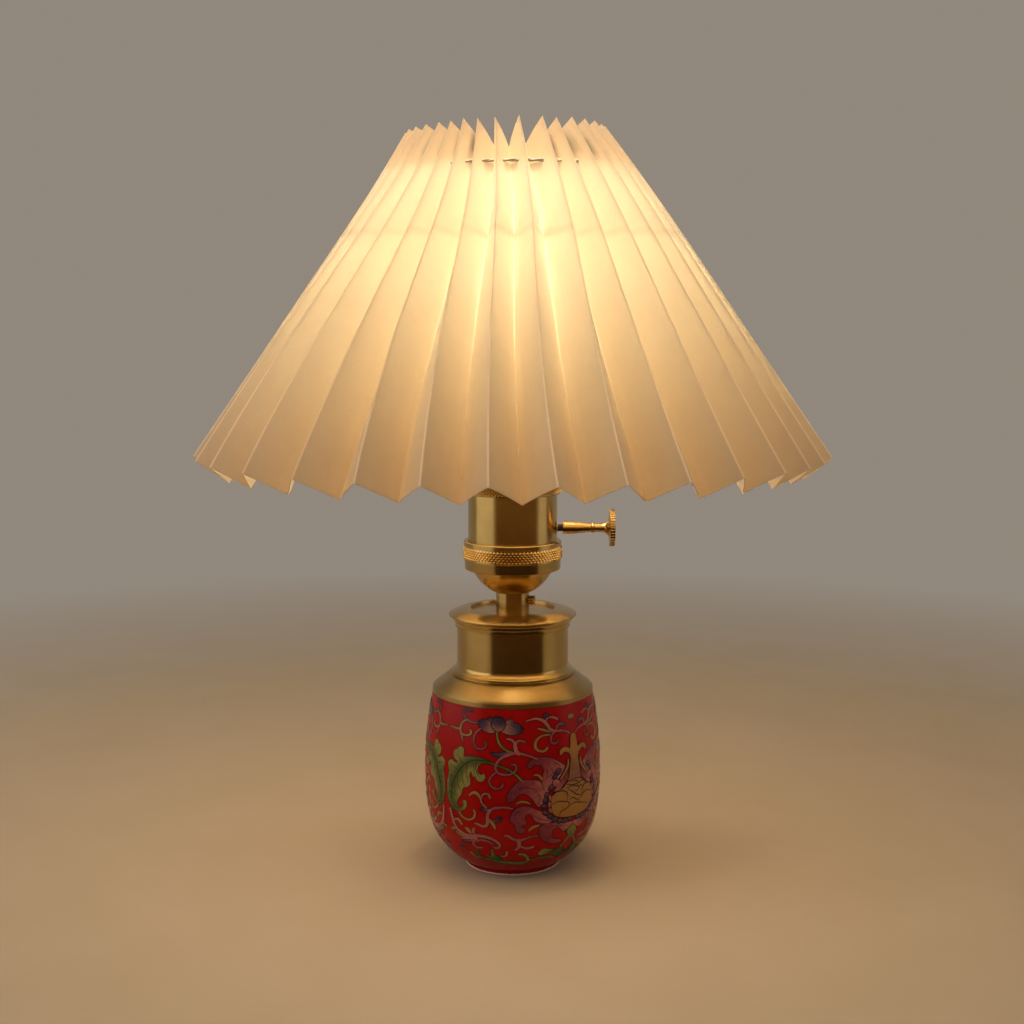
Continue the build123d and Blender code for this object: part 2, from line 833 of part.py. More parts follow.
def tangent_angle(ball_radius, neck):
    """Angle below the equator, in degrees, where a cone from the neck meets the globe."""
    reach = hypot(neck, globe_rise)
    return degrees(atan2(globe_rise, neck) - acos(ball_radius / reach))


with BuildPart() as bulb_globe:
    inner_ball = globe_radius - globe_wall
    inner_neck = glass_neck_radius - globe_wall
    neck_bottom = cap_top - globe_neck_depth
    outer_angle = tangent_angle(globe_radius, glass_neck_radius)
    inner_angle = tangent_angle(inner_ball, inner_neck)
    with BuildSketch(Plane.XZ):
        with BuildLine():
            ball = CenterArc((0, globe_z), globe_radius, -outer_angle, 90 + outer_angle)
            ball_inside = CenterArc((0, globe_z), inner_ball, -inner_angle, 90 + inner_angle)
            Polyline(
                ball @ 0,
                (glass_neck_radius, cap_top),
                (glass_neck_radius, neck_bottom),
                (inner_neck, neck_bottom),
                (inner_neck, cap_top),
                ball_inside @ 0,
            )
            Line(ball @ 1, ball_inside @ 1)
        make_face()
    revolve(axis=Axis.Z)
finish(bulb_globe, "bulb_globe")


# Shade rings, screwed on the sleeve below and above the carrier hub
def shade_ring(name, bottom):
    """One threaded ring with its lower face at a height."""
    with BuildPart() as ring:
        with BuildSketch(Plane.XY.offset(bottom)):
            Circle(shade_ring_bore_radius + shade_ring_wall)
            Circle(shade_ring_bore_radius, mode=Mode.SUBTRACT)
        extrude(amount=shade_ring_height)
    finish(ring, name)


shade_ring("shade_ring_lower", shell_top)
shade_ring("shade_ring_upper", upper_ring_z)

with BuildPart() as carrier_hub:
    with BuildSketch(Plane.XY.offset(hub_z)):
        Circle(hub_radius)
        Circle(hub_bore_radius, mode=Mode.SUBTRACT)
    extrude(amount=hub_thickness)
finish(carrier_hub, "carrier_hub")


# Fold lines of the shade, as (radius, height): every panel has the same width all along
half_pitch = pi / pleat_count
lean_out = (shade_rim_radius - shade_top_radius) / fold_length
lean_up = sqrt(1 - lean_out**2)


def valley_beside(ridge):
    """Valley fold point that lies one panel width from a ridge point, square to the fold."""
    shift = ridge[0] * (1 - cos(half_pitch))
    depth = shift * lean_up
    depth += sqrt(depth**2 + panel_width**2 - 2 * ridge[0] * shift)
    return ridge[0] - depth * lean_up, ridge[1] - depth * lean_out


ridge_rim = (shade_rim_radius, shade_rim_z)
ridge_top = (shade_top_radius, shade_rim_z + fold_length * lean_up)
valley_rim = valley_beside(ridge_rim)
valley_top = valley_beside(ridge_top)


def fold_radius(top, rim, z):
    """Radius of a straight fold line at a height."""
    return top[0] + (rim[0] - top[0]) * (top[1] - z) / (top[1] - rim[1])


def star(z, inset):
    """Level section of the pleats at a height, set in by a thickness square to its edges."""
    ridge = fold_radius(ridge_top, ridge_rim, z)
    valley = fold_radius(valley_top, valley_rim, z)
    edge = sqrt(ridge**2 + valley**2 - 2 * ridge * valley * cos(half_pitch))
    edge_distance = ridge * valley * sin(half_pitch) / edge
    shrink = 1 - inset / edge_distance
    corners = []
    for k in range(pleat_count):
        turn = radians(ridge_turn - 90) + 2 * k * half_pitch
        corners.append((ridge * shrink * cos(turn), ridge * shrink * sin(turn)))
        turn += half_pitch
        corners.append((valley * shrink * cos(turn), valley * shrink * sin(turn)))
    return corners


# Loft planes and end cuts reach past the sheet by this much
sheet_margin = 2.0
loft_low = valley_rim[1] - sheet_margin
loft_high = ridge_top[1] + sheet_margin
cut_depth = 1.5 * panel_width
hoop_z = valley_top[1] - hoop_drop * lean_up

string_middle = ((ridge_top[0] + valley_top[0]) / 2, (ridge_top[1] + valley_top[1]) / 2)
string_point = (string_middle[0] + string_drop * lean_out, string_middle[1] - string_drop * lean_up)

with BuildPart() as pleat_hollow:
    for z in (loft_low, hoop_z, loft_high):
        with BuildSketch(Plane.XY.offset(z)):
            Polygon(*star(z, sheet_thickness), align=None)
    loft(ruled=True)

with BuildPart() as shade_pleats:
    for z in (loft_low, loft_high):
        with BuildSketch(Plane.XY.offset(z)):
            Polygon(*star(z, 0), align=None)
    loft(ruled=True)
    add(pleat_hollow.part, mode=Mode.SUBTRACT)
    with BuildSketch(Plane.XZ):
        with BuildLine():
            Polyline(
                (ridge_top[0] - cut_depth * lean_up, ridge_top[1] - cut_depth * lean_out),
                (ridge_top[0] + sheet_margin * lean_up, ridge_top[1] + sheet_margin * lean_out),
                (ridge_rim[0] + sheet_margin * lean_up, ridge_rim[1] + sheet_margin * lean_out),
                (ridge_rim[0] - cut_depth * lean_up, ridge_rim[1] - cut_depth * lean_out),
                close=True,
            )
        make_face()
    revolve(axis=Axis.Z, mode=Mode.INTERSECT)
    with BuildSketch(Plane.XZ):
        with Locations(string_point):
            Circle(string_radius + hang_gap)
    revolve(axis=Axis.Z, mode=Mode.SUBTRACT)
finish(shade_pleats, "shade_pleats")

with BuildPart() as gather_string:
    with BuildSketch(Plane.XZ):
        with Locations(string_point):
            Circle(string_radius)
    revolve(axis=Axis.Z)
finish(gather_string, "gather_string")


# Wire hoop just inside the valley folds, and the arms that carry it
valley_inside = min(hypot(*corner) for corner in star(hoop_z, sheet_thickness))
hoop_radius = valley_inside - (hoop_wire_radius + hang_gap) / lean_up

with BuildPart() as shade_hoop:
    with BuildSketch(Plane.XZ):
        with Locations((hoop_radius, hoop_z)):
            Circle(hoop_wire_radius)
    revolve(axis=Axis.Z)
finish(shade_hoop, "shade_hoop")

arm_z = hub_z + hub_thickness / 2

with BuildPart() as carrier_arm:
    with BuildLine(Plane.YZ):
        arm_path = FilletPolyline(
            (hub_radius, arm_z),
            (hub_radius + arm_run, arm_z),
            (hoop_radius, hoop_z),
            radius=arm_bend_radius,
        )
    with BuildSketch(Plane(origin=arm_path @ 0, z_dir=arm_path % 0)):
        Circle(arm_wire_radius)
    sweep(path=arm_path)

with BuildPart() as carrier_arms:
    with PolarLocations(0, arm_count):
        add(carrier_arm.part)
    add(shade_hoop.part, mode=Mode.SUBTRACT)
finish(carrier_arms, "carrier_arms")
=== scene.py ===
import random
from math import cos, hypot, pi, radians, sin, sqrt

import bpy
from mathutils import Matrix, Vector, geometry, noise


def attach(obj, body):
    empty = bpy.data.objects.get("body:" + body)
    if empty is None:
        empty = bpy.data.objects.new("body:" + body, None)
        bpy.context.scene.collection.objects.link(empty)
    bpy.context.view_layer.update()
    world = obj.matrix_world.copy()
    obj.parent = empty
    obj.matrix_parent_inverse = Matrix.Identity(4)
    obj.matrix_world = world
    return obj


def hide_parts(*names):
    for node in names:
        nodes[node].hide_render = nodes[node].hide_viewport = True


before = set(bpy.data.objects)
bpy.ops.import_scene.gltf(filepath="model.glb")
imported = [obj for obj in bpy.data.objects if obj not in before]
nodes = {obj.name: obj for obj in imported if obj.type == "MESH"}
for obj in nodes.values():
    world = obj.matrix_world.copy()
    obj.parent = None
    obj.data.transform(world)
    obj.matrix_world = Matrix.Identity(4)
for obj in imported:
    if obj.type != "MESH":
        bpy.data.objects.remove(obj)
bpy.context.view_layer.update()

scene = bpy.context.scene
scene.view_settings.view_transform = "Standard"
MM = 0.001
METRE_MM = 1000.0


# Camera: level with the middle of the shade, looking slightly down, at the photograph's distance
IMAGE_WIDTH = 1024
FOCAL_PIXELS = 1500
SENSOR_WIDTH = 36.0
CAMERA_PLACE = (-0.0003, -0.715, 0.2655)
CAMERA_DIP = 7.38
camera_data = bpy.data.cameras.new("camera")
camera_data.sensor_width = SENSOR_WIDTH
camera_data.lens = SENSOR_WIDTH * FOCAL_PIXELS / IMAGE_WIDTH
camera = bpy.data.objects.new("camera", camera_data)
camera.location = CAMERA_PLACE
camera.rotation_euler = (radians(90 - CAMERA_DIP), 0, 0)
scene.collection.objects.link(camera)
scene.camera = camera


# Studio light: dim walls all round and four soft boxes
WALL_COLOUR = (0.285, 0.246, 0.204)
LAMP_AIM = (0, 0, 0.16)


def soft_box(name, place, size, radiance, colour):
    """Area lamp that faces the object; its brightness doesn't depend on its size."""
    lamp = bpy.data.lights.new(name, "AREA")
    lamp.shape = "RECTANGLE"
    lamp.size, lamp.size_y = size
    lamp.energy = radiance * pi * size[0] * size[1]
    lamp.color = colour
    box = bpy.data.objects.new(name, lamp)
    box.location = place
    box.rotation_euler = (Vector(place) - Vector(LAMP_AIM)).to_track_quat("Z", "Y").to_euler()
    box.visible_camera = False
    scene.collection.objects.link(box)


def plain_world(colour):
    world = bpy.data.worlds.new("studio")
    world.use_nodes = True
    background = world.node_tree.nodes["Background"]
    background.inputs["Color"].default_value = (*colour, 1)
    background.inputs["Strength"].default_value = 1.0
    scene.world = world


plain_world(WALL_COLOUR)
soft_box("soft_box_left", (-0.88, -0.20, 0.30), (1.0, 1.1), 0.74, (1.0, 0.95, 0.87))
soft_box("soft_box_right", (0.89, -0.12, 0.30), (0.42, 1.1), 0.42, (1.0, 0.94, 0.85))
soft_box("soft_box_upper_left", (-1.05, -0.25, 0.95), (1.0, 0.8), 0.5, (0.98, 0.96, 0.93))
soft_box("soft_box_top", (0.0, -0.55, 1.25), (1.2, 0.8), 0.75, (1.0, 0.95, 0.88))


# Shader nodes
def node(tree, kind, **settings):
    made = tree.nodes.new("ShaderNode" + kind)
    for key, value in settings.items():
        setattr(made, key, value)
    return made


def feed(tree, socket, value):
    """Sets a number or a colour on a socket, or links another socket to it."""
    if isinstance(value, (int, float)):
        socket.default_value = value
    elif isinstance(value, tuple):
        socket.default_value = (*value, 1)
    else:
        tree.links.new(value, socket)


def math_node(tree, operation, a, b=None, clamp=False):
    """Math node on one or two values or sockets; returns its output."""
    made = node(tree, "Math", operation=operation, use_clamp=clamp)
    feed(tree, made.inputs[0], a)
    if b is not None:
        feed(tree, made.inputs[1], b)
    return made.outputs[0]


def times(tree, first, *others):
    """Product of values or sockets."""
    product = first
    for other in others:
        product = math_node(tree, "MULTIPLY", product, other)
    return product


def vector_node(tree, operation, vector):
    made = node(tree, "VectorMath", operation=operation)
    tree.links.new(vector, made.inputs[0])
    return made.outputs["Value" if operation == "LENGTH" else "Vector"]


def apart(tree, vector):
    """X, Y and Z of a vector."""
    made = node(tree, "SeparateXYZ")
    tree.links.new(vector, made.inputs[0])
    return made.outputs["X"], made.outputs["Y"], made.outputs["Z"]


def joined(tree, x, y, z=0.0):
    made = node(tree, "CombineXYZ")
    for socket, value in zip(made.inputs, (x, y, z)):
        feed(tree, socket, value)
    return made.outputs[0]


def grey(tree, value):
    """Colour whose three channels are one value."""
    return joined(tree, value, value, value)


def noise_node(tree, vector, scale, detail, rough=0.5):
    made = node(tree, "TexNoise")
    feed(tree, made.inputs["Scale"], scale)
    made.inputs["Detail"].default_value = detail
    made.inputs["Roughness"].default_value = rough
    tree.links.new(vector, made.inputs["Vector"])
    return made.outputs["Fac"]


def ramp_node(tree, factor, *stops):
    made = node(tree, "ValToRGB")
    elements = made.color_ramp.elements
    while len(elements) < len(stops):
        elements.new(0.5)
    for element, (place, colour) in zip(elements, stops):
        element.position = place
        element.color = (*colour, 1)
    tree.links.new(factor, made.inputs["Fac"])
    return made.outputs["Color"]


def range_node(tree, value, low, high, to_low=0.0, to_high=1.0):
    made = node(tree, "MapRange")
    limits = {"From Min": low, "From Max": high, "To Min": to_low, "To Max": to_high}
    for name, number in limits.items():
        made.inputs[name].default_value = number
    tree.links.new(value, made.inputs["Value"])
    return made.outputs["Result"]


def mix_colours(tree, factor, a, b, way="MIX"):
    made = node(tree, "Mix", data_type="RGBA", blend_type=way)
    for socket, value in ((made.inputs[0], factor), (made.inputs[6], a), (made.inputs[7], b)):
        feed(tree, socket, value)
    return made.outputs[2]


def mix_shaders(tree, factor, first, second):
    """Makes the surface of two shaders; the factor is a number or a socket."""
    made = node(tree, "MixShader")
    feed(tree, made.inputs[0], factor)
    tree.links.new(first.outputs[0], made.inputs[1])
    tree.links.new(second.outputs[0], made.inputs[2])
    tree.links.new(made.outputs[0], tree.nodes["Material Output"].inputs["Surface"])


def effect_group(name, inputs, outputs):
    """Empty shader node group with named sockets; returns it with its two ends."""
    tree = bpy.data.node_groups.new(name, "ShaderNodeTree")
    for label, kind, value in inputs:
        socket = tree.interface.new_socket(label, in_out="INPUT", socket_type="NodeSocket" + kind)
        socket.default_value = value
    for label, kind in outputs:
        tree.interface.new_socket(label, in_out="OUTPUT", socket_type="NodeSocket" + kind)
    return tree, tree.nodes.new("NodeGroupInput"), tree.nodes.new("NodeGroupOutput")


def turned_finish_group():
    """Fine lines that run round the turning axis (local Z), with slow patches of patina."""
    tree, start, end = effect_group(
        "turned_finish",
        (("Position", "Vector", (0, 0, 0)), ("Lines per mm", "Float", 4.0), ("Patch mm", "Float", 14.0)),
        (("Lines", "Float"), ("Patina", "Float"), ("Height", "Float")),
    )
    change_round = 2.2
    position = start.outputs["Position"]
    x, y, z = apart(tree, position)
    across = joined(tree, x, y)
    along = math_node(tree, "ADD", z, vector_node(tree, "LENGTH", across))
    density = times(tree, start.outputs["Lines per mm"], METRE_MM)
    around_x, around_y, _ = apart(tree, vector_node(tree, "NORMALIZE", across))
    stretched = joined(
        tree,
        times(tree, along, density),
        times(tree, around_x, change_round),
        times(tree, around_y, change_round),
    )
    lines = noise_node(tree, stretched, 0.5, 2.0, 0.6)
    patch_scale = math_node(tree, "DIVIDE", METRE_MM, start.outputs["Patch mm"])
    patches = noise_node(tree, position, patch_scale, 4.0, 0.6)
    tree.links.new(range_node(tree, lines, 0.3, 0.7), end.inputs["Lines"])
    tree.links.new(range_node(tree, patches, 0.35, 0.68), end.inputs["Patina"])
    tree.links.new(lines, end.inputs["Height"])
    return tree


def grain_group():
    """Even fine grain with slower mottling, for glaze, paper, plastic, rubber and lacquer."""
    tree, start, end = effect_group(
        "grain",
        (("Position", "Vector", (0, 0, 0)), ("Grain mm", "Float", 0.6), ("Mottle mm", "Float", 9.0)),
        (("Grain", "Float"), ("Mottle", "Float"), ("Height", "Float")),
    )
    for label, size, detail, low, high in (
        ("Grain", "Grain mm", 3.0, 0.3, 0.7),
        ("Mottle", "Mottle mm", 4.0, 0.32, 0.68),
    ):
        scale = math_node(tree, "DIVIDE", METRE_MM, start.outputs[size])
        cloud = noise_node(tree, start.outputs["Position"], scale, detail)
        tree.links.new(range_node(tree, cloud, low, high), end.inputs[label])
        if label == "Grain":
            tree.links.new(cloud, end.inputs["Height"])
    return tree


TURNED = turned_finish_group()
GRAIN = grain_group()


# Materials, each filed under the name that it is made with
MATERIALS = {}


def new_material(name):
    """Node tree of a new material, its Principled shader and the piece's own coordinates."""
    material = bpy.data.materials.new(name)
    material.use_nodes = True
    MATERIALS[name] = material
    tree = material.node_tree
    position = node(tree, "TexCoord").outputs["Object"]
    return tree, tree.nodes["Principled BSDF"], position


def place_group(tree, group, position, **values):
    made = tree.nodes.new("ShaderNodeGroup")
    made.node_tree = group
    tree.links.new(position, made.inputs["Position"])
    for label, value in values.items():
        made.inputs[label.replace("_", " ")].default_value = value
    return made


def bump(tree, shader, height, strength, distance):
    made = node(tree, "Bump")
    made.inputs["Strength"].default_value = strength
    made.inputs["Distance"].default_value = distance
    tree.links.new(height, made.inputs["Height"])
    tree.links.new(made.outputs["Normal"], shader.inputs["Normal"])


def turned_brass(name, bright, dark, rough, axis_x_height=None):
    """Brass off the lathe: lines round Z, or round an axis along X at a height, and brown patina."""
    tree, shader, position = new_material(name)
    if axis_x_height is not None:
        turned = node(tree, "Mapping")
        turned.inputs["Location"].default_value = (axis_x_height, 0, 0)
        turned.inputs["Rotation"].default_value = (0, radians(-90), 0)
        tree.links.new(position, turned.inputs["Vector"])
        position = turned.outputs["Vector"]
    finish = place_group(tree, TURNED, position, Lines_per_mm=9.0, Patch_mm=16.0)
    tone = mix_colours(tree, range_node(tree, finish.outputs["Patina"], 0, 1, 0.0, 0.6), bright, dark)
    line_tone = range_node(tree, finish.outputs["Lines"], 0, 1, 0.0, 0.16)
    tree.links.new(mix_colours(tree, line_tone, tone, dark), shader.inputs["Base Color"])
    rough_lines = range_node(tree, finish.outputs["Lines"], 0, 1, rough - 0.03, rough + 0.04)
    tree.links.new(rough_lines, shader.inputs["Roughness"])
    shader.inputs["Metallic"].default_value = 1.0
    # lathe lines spread a reflection along the profile, not round the axis
    shader.inputs["Anisotropic"].default_value = 0.7
    shader.inputs["Anisotropic Rotation"].default_value = 0.25
    tangent = node(tree, "Tangent", direction_type="RADIAL", axis="Z" if axis_x_height is None else "X")
    tree.links.new(tangent.outputs[0], shader.inputs["Tangent"])
    bump(tree, shader, finish.outputs["Height"], 0.025, 0.01 * MM)


def grained(name, light, dark, rough, grain=0.6, mottle=9.0, metal=0.0, strength=0.3):
    """Moulded, plated or lacquered surface with fine grain and slow mottling."""
    tree, shader, position = new_material(name)
    finish = place_group(tree, GRAIN, position, Grain_mm=grain, Mottle_mm=mottle)
    tree.links.new(mix_colours(tree, finish.outputs["Mottle"], light, dark), shader.inputs["Base Color"])
    grain_rough = range_node(tree, finish.outputs["Grain"], 0, 1, rough - 0.06, rough + 0.08)
    tree.links.new(grain_rough, shader.inputs["Roughness"])
    shader.inputs["Metallic"].default_value = metal
    bump(tree, shader, finish.outputs["Height"], strength, 0.03 * MM)
    return tree, shader


def red_glaze_material():
    """Red glaze, a little uneven; the foot stands on bare white clay with a ragged edge."""
    tree, shader, position = new_material("red_glaze")
    finish = place_group(tree, GRAIN, position, Grain_mm=1.6, Mottle_mm=11.0)
    glaze = mix_colours(tree, finish.outputs["Mottle"], (0.33, 0.0015, 0.001), (0.295, 0.0012, 0.0008))
    ragged = range_node(tree, finish.outputs["Grain"], 0, 1, 0, 0.3 * MM)
    edge = math_node(tree, "ADD", apart(tree, position)[2], ragged)
    bare = range_node(tree, edge, 0.9 * MM, 0.5 * MM)
    tree.links.new(mix_colours(tree, bare, glaze, (0.72, 0.68, 0.62)), shader.inputs["Base Color"])
    tree.links.new(range_node(tree, bare, 0, 1, 0.24, 0.7), shader.inputs["Roughness"])
    shader.inputs["Specular IOR Level"].default_value = 0.14
    bump(tree, shader, finish.outputs["Height"], 0.12, 0.12 * MM)


# Shade: fold lines as (radius, height) in millimetres
PLEATS = 34
FIRST_RIDGE = 6.63
RIDGE_TOP, RIDGE_RIM = (46.5, 351.71), (150.0, 202.0)
VALLEY_TOP, VALLEY_RIM = (30.3, 340.5), (137.69, 193.49)
PAPER_THICKNESS = 0.4
HOOP_RADIUS, HOOP_Z = 57.2, 299.38
STRING_RADIUS, STRING_Z = 50.0, 332.94
LIGHT_Z = 288.0
# Colours from the rim (0) to the top edge (1) of what the paper lets through, painted warmer towards the rim
# to stand in for the lamp's light, and of its painted glow
THROUGH_LIGHT_TINT = (
    (0.0, (1.0, 0.82, 0.555)), (0.3, (1.0, 0.90, 0.72)), (0.55, (0.98, 0.92, 0.79)),
    (0.87, (0.95, 0.90, 0.78)), (0.9, (0.97, 0.89, 0.74)),
)
WARM_GLOW = (
    (0.1, (0, 0, 0)), (0.32, (0.035, 0.026, 0.013)), (0.5, (0.088, 0.07, 0.043)),
    (0.66, (0.175, 0.142, 0.096)), (0.84, (0.235, 0.198, 0.138)), (0.87, (0.23, 0.19, 0.13)),
    (0.895, (0.205, 0.152, 0.095)), (1.0, (0.19, 0.134, 0.082)),
)


def paper_material(name, light, dark, passing, outside):
    """Cream paper with fine fibres that the lamp shines through; its glow, the faint shadows of the hoop and
    the string, the dark gaps between folds, and on the outer side the light and shade of its ridges and
    valleys are painted on.
    """
    tree, shader, position = new_material(name)
    finish = place_group(tree, GRAIN, position, Grain_mm=0.8, Mottle_mm=6.0)
    x, y, z = apart(tree, position)
    radius = vector_node(tree, "LENGTH", joined(tree, x, y))
    fold = node(tree, "Attribute", attribute_name="fold").outputs["Fac"]
    painted_gap_shade = node(tree, "Attribute", attribute_name="painted_gap_shade").outputs["Fac"]
    # how far the ray from the lit top of the bulb to this spot passes above or below the hoop
    rise = math_node(tree, "SUBTRACT", z, LIGHT_Z * MM)
    at_hoop = times(tree, rise, math_node(tree, "DIVIDE", HOOP_RADIUS * MM, radius))
    miss = math_node(tree, "ABSOLUTE", math_node(tree, "SUBTRACT", at_hoop, (HOOP_Z - LIGHT_Z) * MM))
    hoop_shadow = range_node(tree, miss, 0.2 * MM, 2.0 * MM, 0.90, 1.0)
    # the string's shadow lies in the valleys, just under it
    string_shadow = times(
        tree,
        range_node(tree, z, (STRING_Z - 4.5) * MM, (STRING_Z - 0.8) * MM, 0.0, 0.3),
        math_node(tree, "LESS_THAN", z, STRING_Z * MM),
        range_node(tree, radius, (STRING_RADIUS + 0.3) * MM, (STRING_RADIUS - 1.3) * MM),
    )
    # painted shade: the gaps between close folds near the top are darkened
    gap_shade_factor = range_node(tree, painted_gap_shade, 0, 1, 1.0, 0.34)
    shades = [hoop_shadow, math_node(tree, "SUBTRACT", 1.0, string_shadow), gap_shade_factor]
    speck = mix_colours(tree, finish.outputs["Mottle"], light, dark)
    if outside:
        # painted light and shade: less light comes through towards the rim and the ridges, a painted shadow
        # lines the upper ridges, and the colour is painted paler at the ridges and darker in the valleys, as
        # if less daylight got into them
        low = range_node(tree, z, 0.2, 0.31, 0.70, 0.97)
        deep = range_node(tree, fold, 0.0, 0.8)
        shades.append(math_node(tree, "ADD", low, times(tree, deep, math_node(tree, "SUBTRACT", 1.14, low))))
        ridge = range_node(tree, fold, 0.05, 0.0)
        ridge_shadow = times(tree, ridge, range_node(tree, z, 0.24, 0.3, 0.0, 0.13))
        shades.append(math_node(tree, "SUBTRACT", 1.0, ridge_shadow))
        painted_valley_shade = range_node(tree, fold, 0.0, 0.7, 0.9, 0.6)
        painted_daylight = times(tree, painted_valley_shade, range_node(tree, fold, 0.0, 0.045, 1.75, 1.0))
        speck = mix_colours(tree, 1.0, speck, grey(tree, painted_daylight), "MULTIPLY")
    tree.links.new(speck, shader.inputs["Base Color"])
    shadow = grey(tree, times(tree, *shades))
    lifted = math_node(tree, "ADD", z, times(tree, fold, 4.0 * MM))
    height = range_node(tree, lifted, 0.195, 0.352)
    fibre = mix_colours(tree, finish.outputs["Grain"], (1.0, 1.0, 1.0), (0.95, 0.945, 0.93))
    through = mix_colours(tree, 1.0, ramp_node(tree, height, *THROUGH_LIGHT_TINT), shadow, "MULTIPLY")
    through = mix_colours(tree, 1.0, through, fibre, "MULTIPLY")
    # painted light: the folds of the valleys, which lie nearest to the bulb, glow as fine lines
    painted_crease_glow = times(
        tree,
        range_node(tree, fold, 0.93, 1.0),
        range_node(tree, z, 0.235, 0.285),
        range_node(tree, z, 0.333, 0.330),
        range_node(tree, miss, 0.6 * MM, 2.2 * MM, 0.0, 0.5),
    )
    warm = mix_colours(tree, painted_crease_glow, ramp_node(tree, height, *WARM_GLOW), (0.55, 0.45, 0.30))
    warm = mix_colours(tree, 1.0, warm, shadow, "MULTIPLY")
    if outside:
        # painted highlight: the ridges in the lower half glow pale, as if they caught the daylight
        painted_ridge_highlight = times(tree, ridge, range_node(tree, z, 0.29, 0.23, 0.0, 0.8))
        warm = mix_colours(tree, painted_ridge_highlight, warm, (0.13, 0.11, 0.085))
    # painted light: the paper glows as if lit from within, brightest towards the top
    tree.links.new(mix_colours(tree, 1.0, warm, fibre, "MULTIPLY"), shader.inputs["Emission Color"])
    shader.inputs["Emission Strength"].default_value = 2.0
    shader.inputs["Roughness"].default_value = 0.85
    shader.inputs["Specular IOR Level"].default_value = 0.25
    bump(tree, shader, finish.outputs["Height"], 0.25, 0.06 * MM)
    glow = node(tree, "BsdfTranslucent")
    tree.links.new(through, glow.inputs["Color"])
    mix_shaders(tree, passing, shader, glow)


def cotton_string_material():
    """Cotton string with a painted glow on its upper side, standing in for the light that comes out of the
    folds.
    """
    tree, shader = grained("cotton_string", (0.42, 0.36, 0.26), (0.34, 0.28, 0.20), 0.9, 0.25, 3)
    facing_up = apart(tree, node(tree, "NewGeometry").outputs["Normal"])[2]
    painted_lit_top = range_node(tree, facing_up, 0.15, 0.45)
    glow = mix_colours(tree, painted_lit_top, (0.0, 0.0, 0.0), (1.0, 0.87, 0.60))
    tree.links.new(glow, shader.inputs["Emission Color"])
    shader.inputs["Emission Strength"].default_value = 0.9


def lit_globe_material():
    """Opal bulb, switched on: an almost even, warm glow."""
    tree, shader, position = new_material("lit_opal_glass")
    finish = place_group(tree, GRAIN, position, Grain_mm=2.0, Mottle_mm=18.0)
    milky = mix_colours(tree, finish.outputs["Mottle"], (0.9, 0.86, 0.78), (0.86, 0.81, 0.72))
    tree.links.new(milky, shader.inputs["Base Color"])
    shader.inputs["Roughness"].default_value = 0.25
    warm = mix_colours(tree, finish.outputs["Mottle"], (1.0, 0.85, 0.63), (1.0, 0.82, 0.59))
    tree.links.new(warm, shader.inputs["Emission Color"])
    shader.inputs["Emission Strength"].default_value = 24.0


# Materials of the lamp, and the CAD nodes that have them
KNOB_Z = 165.25
turned_brass("antique_brass", (0.56, 0.39, 0.142), (0.44, 0.285, 0.09), 0.22)
# the skirt's brass: rougher, and painted darker than the other brass, which dims the bright reflection in it
turned_brass("satin_brass_darkened", (0.44, 0.30, 0.11), (0.345, 0.222, 0.07), 0.37)
turned_brass("knob_brass", (0.60, 0.42, 0.16), (0.45, 0.29, 0.09), 0.2, axis_x_height=KNOB_Z * MM)
# knurls: smoother, and painted brighter than the other brass, a painted highlight that makes their glints
# stand out
grained("knurled_brass_brightened", (0.70, 0.52, 0.23), (0.60, 0.43, 0.17), 0.13, 0.5, 9, metal=1.0, strength=0.08)
turned_brass("contact_brass", (0.66, 0.48, 0.2), (0.5, 0.34, 0.12), 0.3)
grained("zinc_steel", (0.58, 0.58, 0.56), (0.46, 0.47, 0.47), 0.38, 0.5, 7, metal=1.0)
grained("black_rubber", (0.028, 0.027, 0.026), (0.02, 0.02, 0.02), 0.7, 0.4, 6)
grained("black_plastic", (0.022, 0.021, 0.02), (0.014, 0.014, 0.014), 0.42, 0.5, 8)
grained("white_porcelain", (0.76, 0.74, 0.69), (0.68, 0.65, 0.6), 0.22, 1.2, 9)
grained("solder", (0.55, 0.55, 0.54), (0.42, 0.42, 0.41), 0.36, 0.8, 3, metal=1.0)
grained("black_glass", (0.02, 0.02, 0.024), (0.012, 0.012, 0.015), 0.14, 0.8, 6)
grained("bulb_metal", (0.68, 0.66, 0.62), (0.56, 0.54, 0.5), 0.28, 0.7, 5, metal=1.0)
grained("white_wire", (0.74, 0.72, 0.66), (0.66, 0.63, 0.57), 0.4, 0.6, 12)
cotton_string_material()
red_glaze_material()
lit_globe_material()
paper_material("shade_paper", (0.78, 0.68, 0.53), (0.73, 0.63, 0.485), 0.5, outside=True)
paper_material("shade_paper_inside", (0.84, 0.75, 0.58), (0.80, 0.70, 0.53), 0.45, outside=False)
FINISHES = {
    "red_glaze": ["ceramic_body"],
    "antique_brass": [
        "shoulder_skirt", "collar_tube", "cap_lid", "socket_neck", "locking_screw",
        "socket_dome", "union_ring", "socket_shell", "shade_ring_lower", "shade_ring_upper",
    ],
    "knob_brass": ["switch_knob"],
    "contact_brass": ["switch_leaves", "screw_shell", "centre_contact", "switch_bush"],
    "zinc_steel": ["base_washer", "base_nut", "lamp_pipe", "dome_nut", "holder_screws"],
    "black_rubber": ["cord_grommet", "base_gasket", "mouth_gasket"],
    "black_plastic": ["switch_housing", "switch_rotor", "switch_spindle"],
    "white_porcelain": ["lampholder_body"],
    "solder": ["bulb_contact"],
    "black_glass": ["bulb_insulator"],
    "bulb_metal": ["bulb_cap"],
    "lit_opal_glass": ["bulb_globe"],
    "white_wire": ["carrier_hub", "carrier_arms", "shade_hoop"],
    "shade_paper": ["shade_pleats"],
    "cotton_string": ["gather_string"],
}
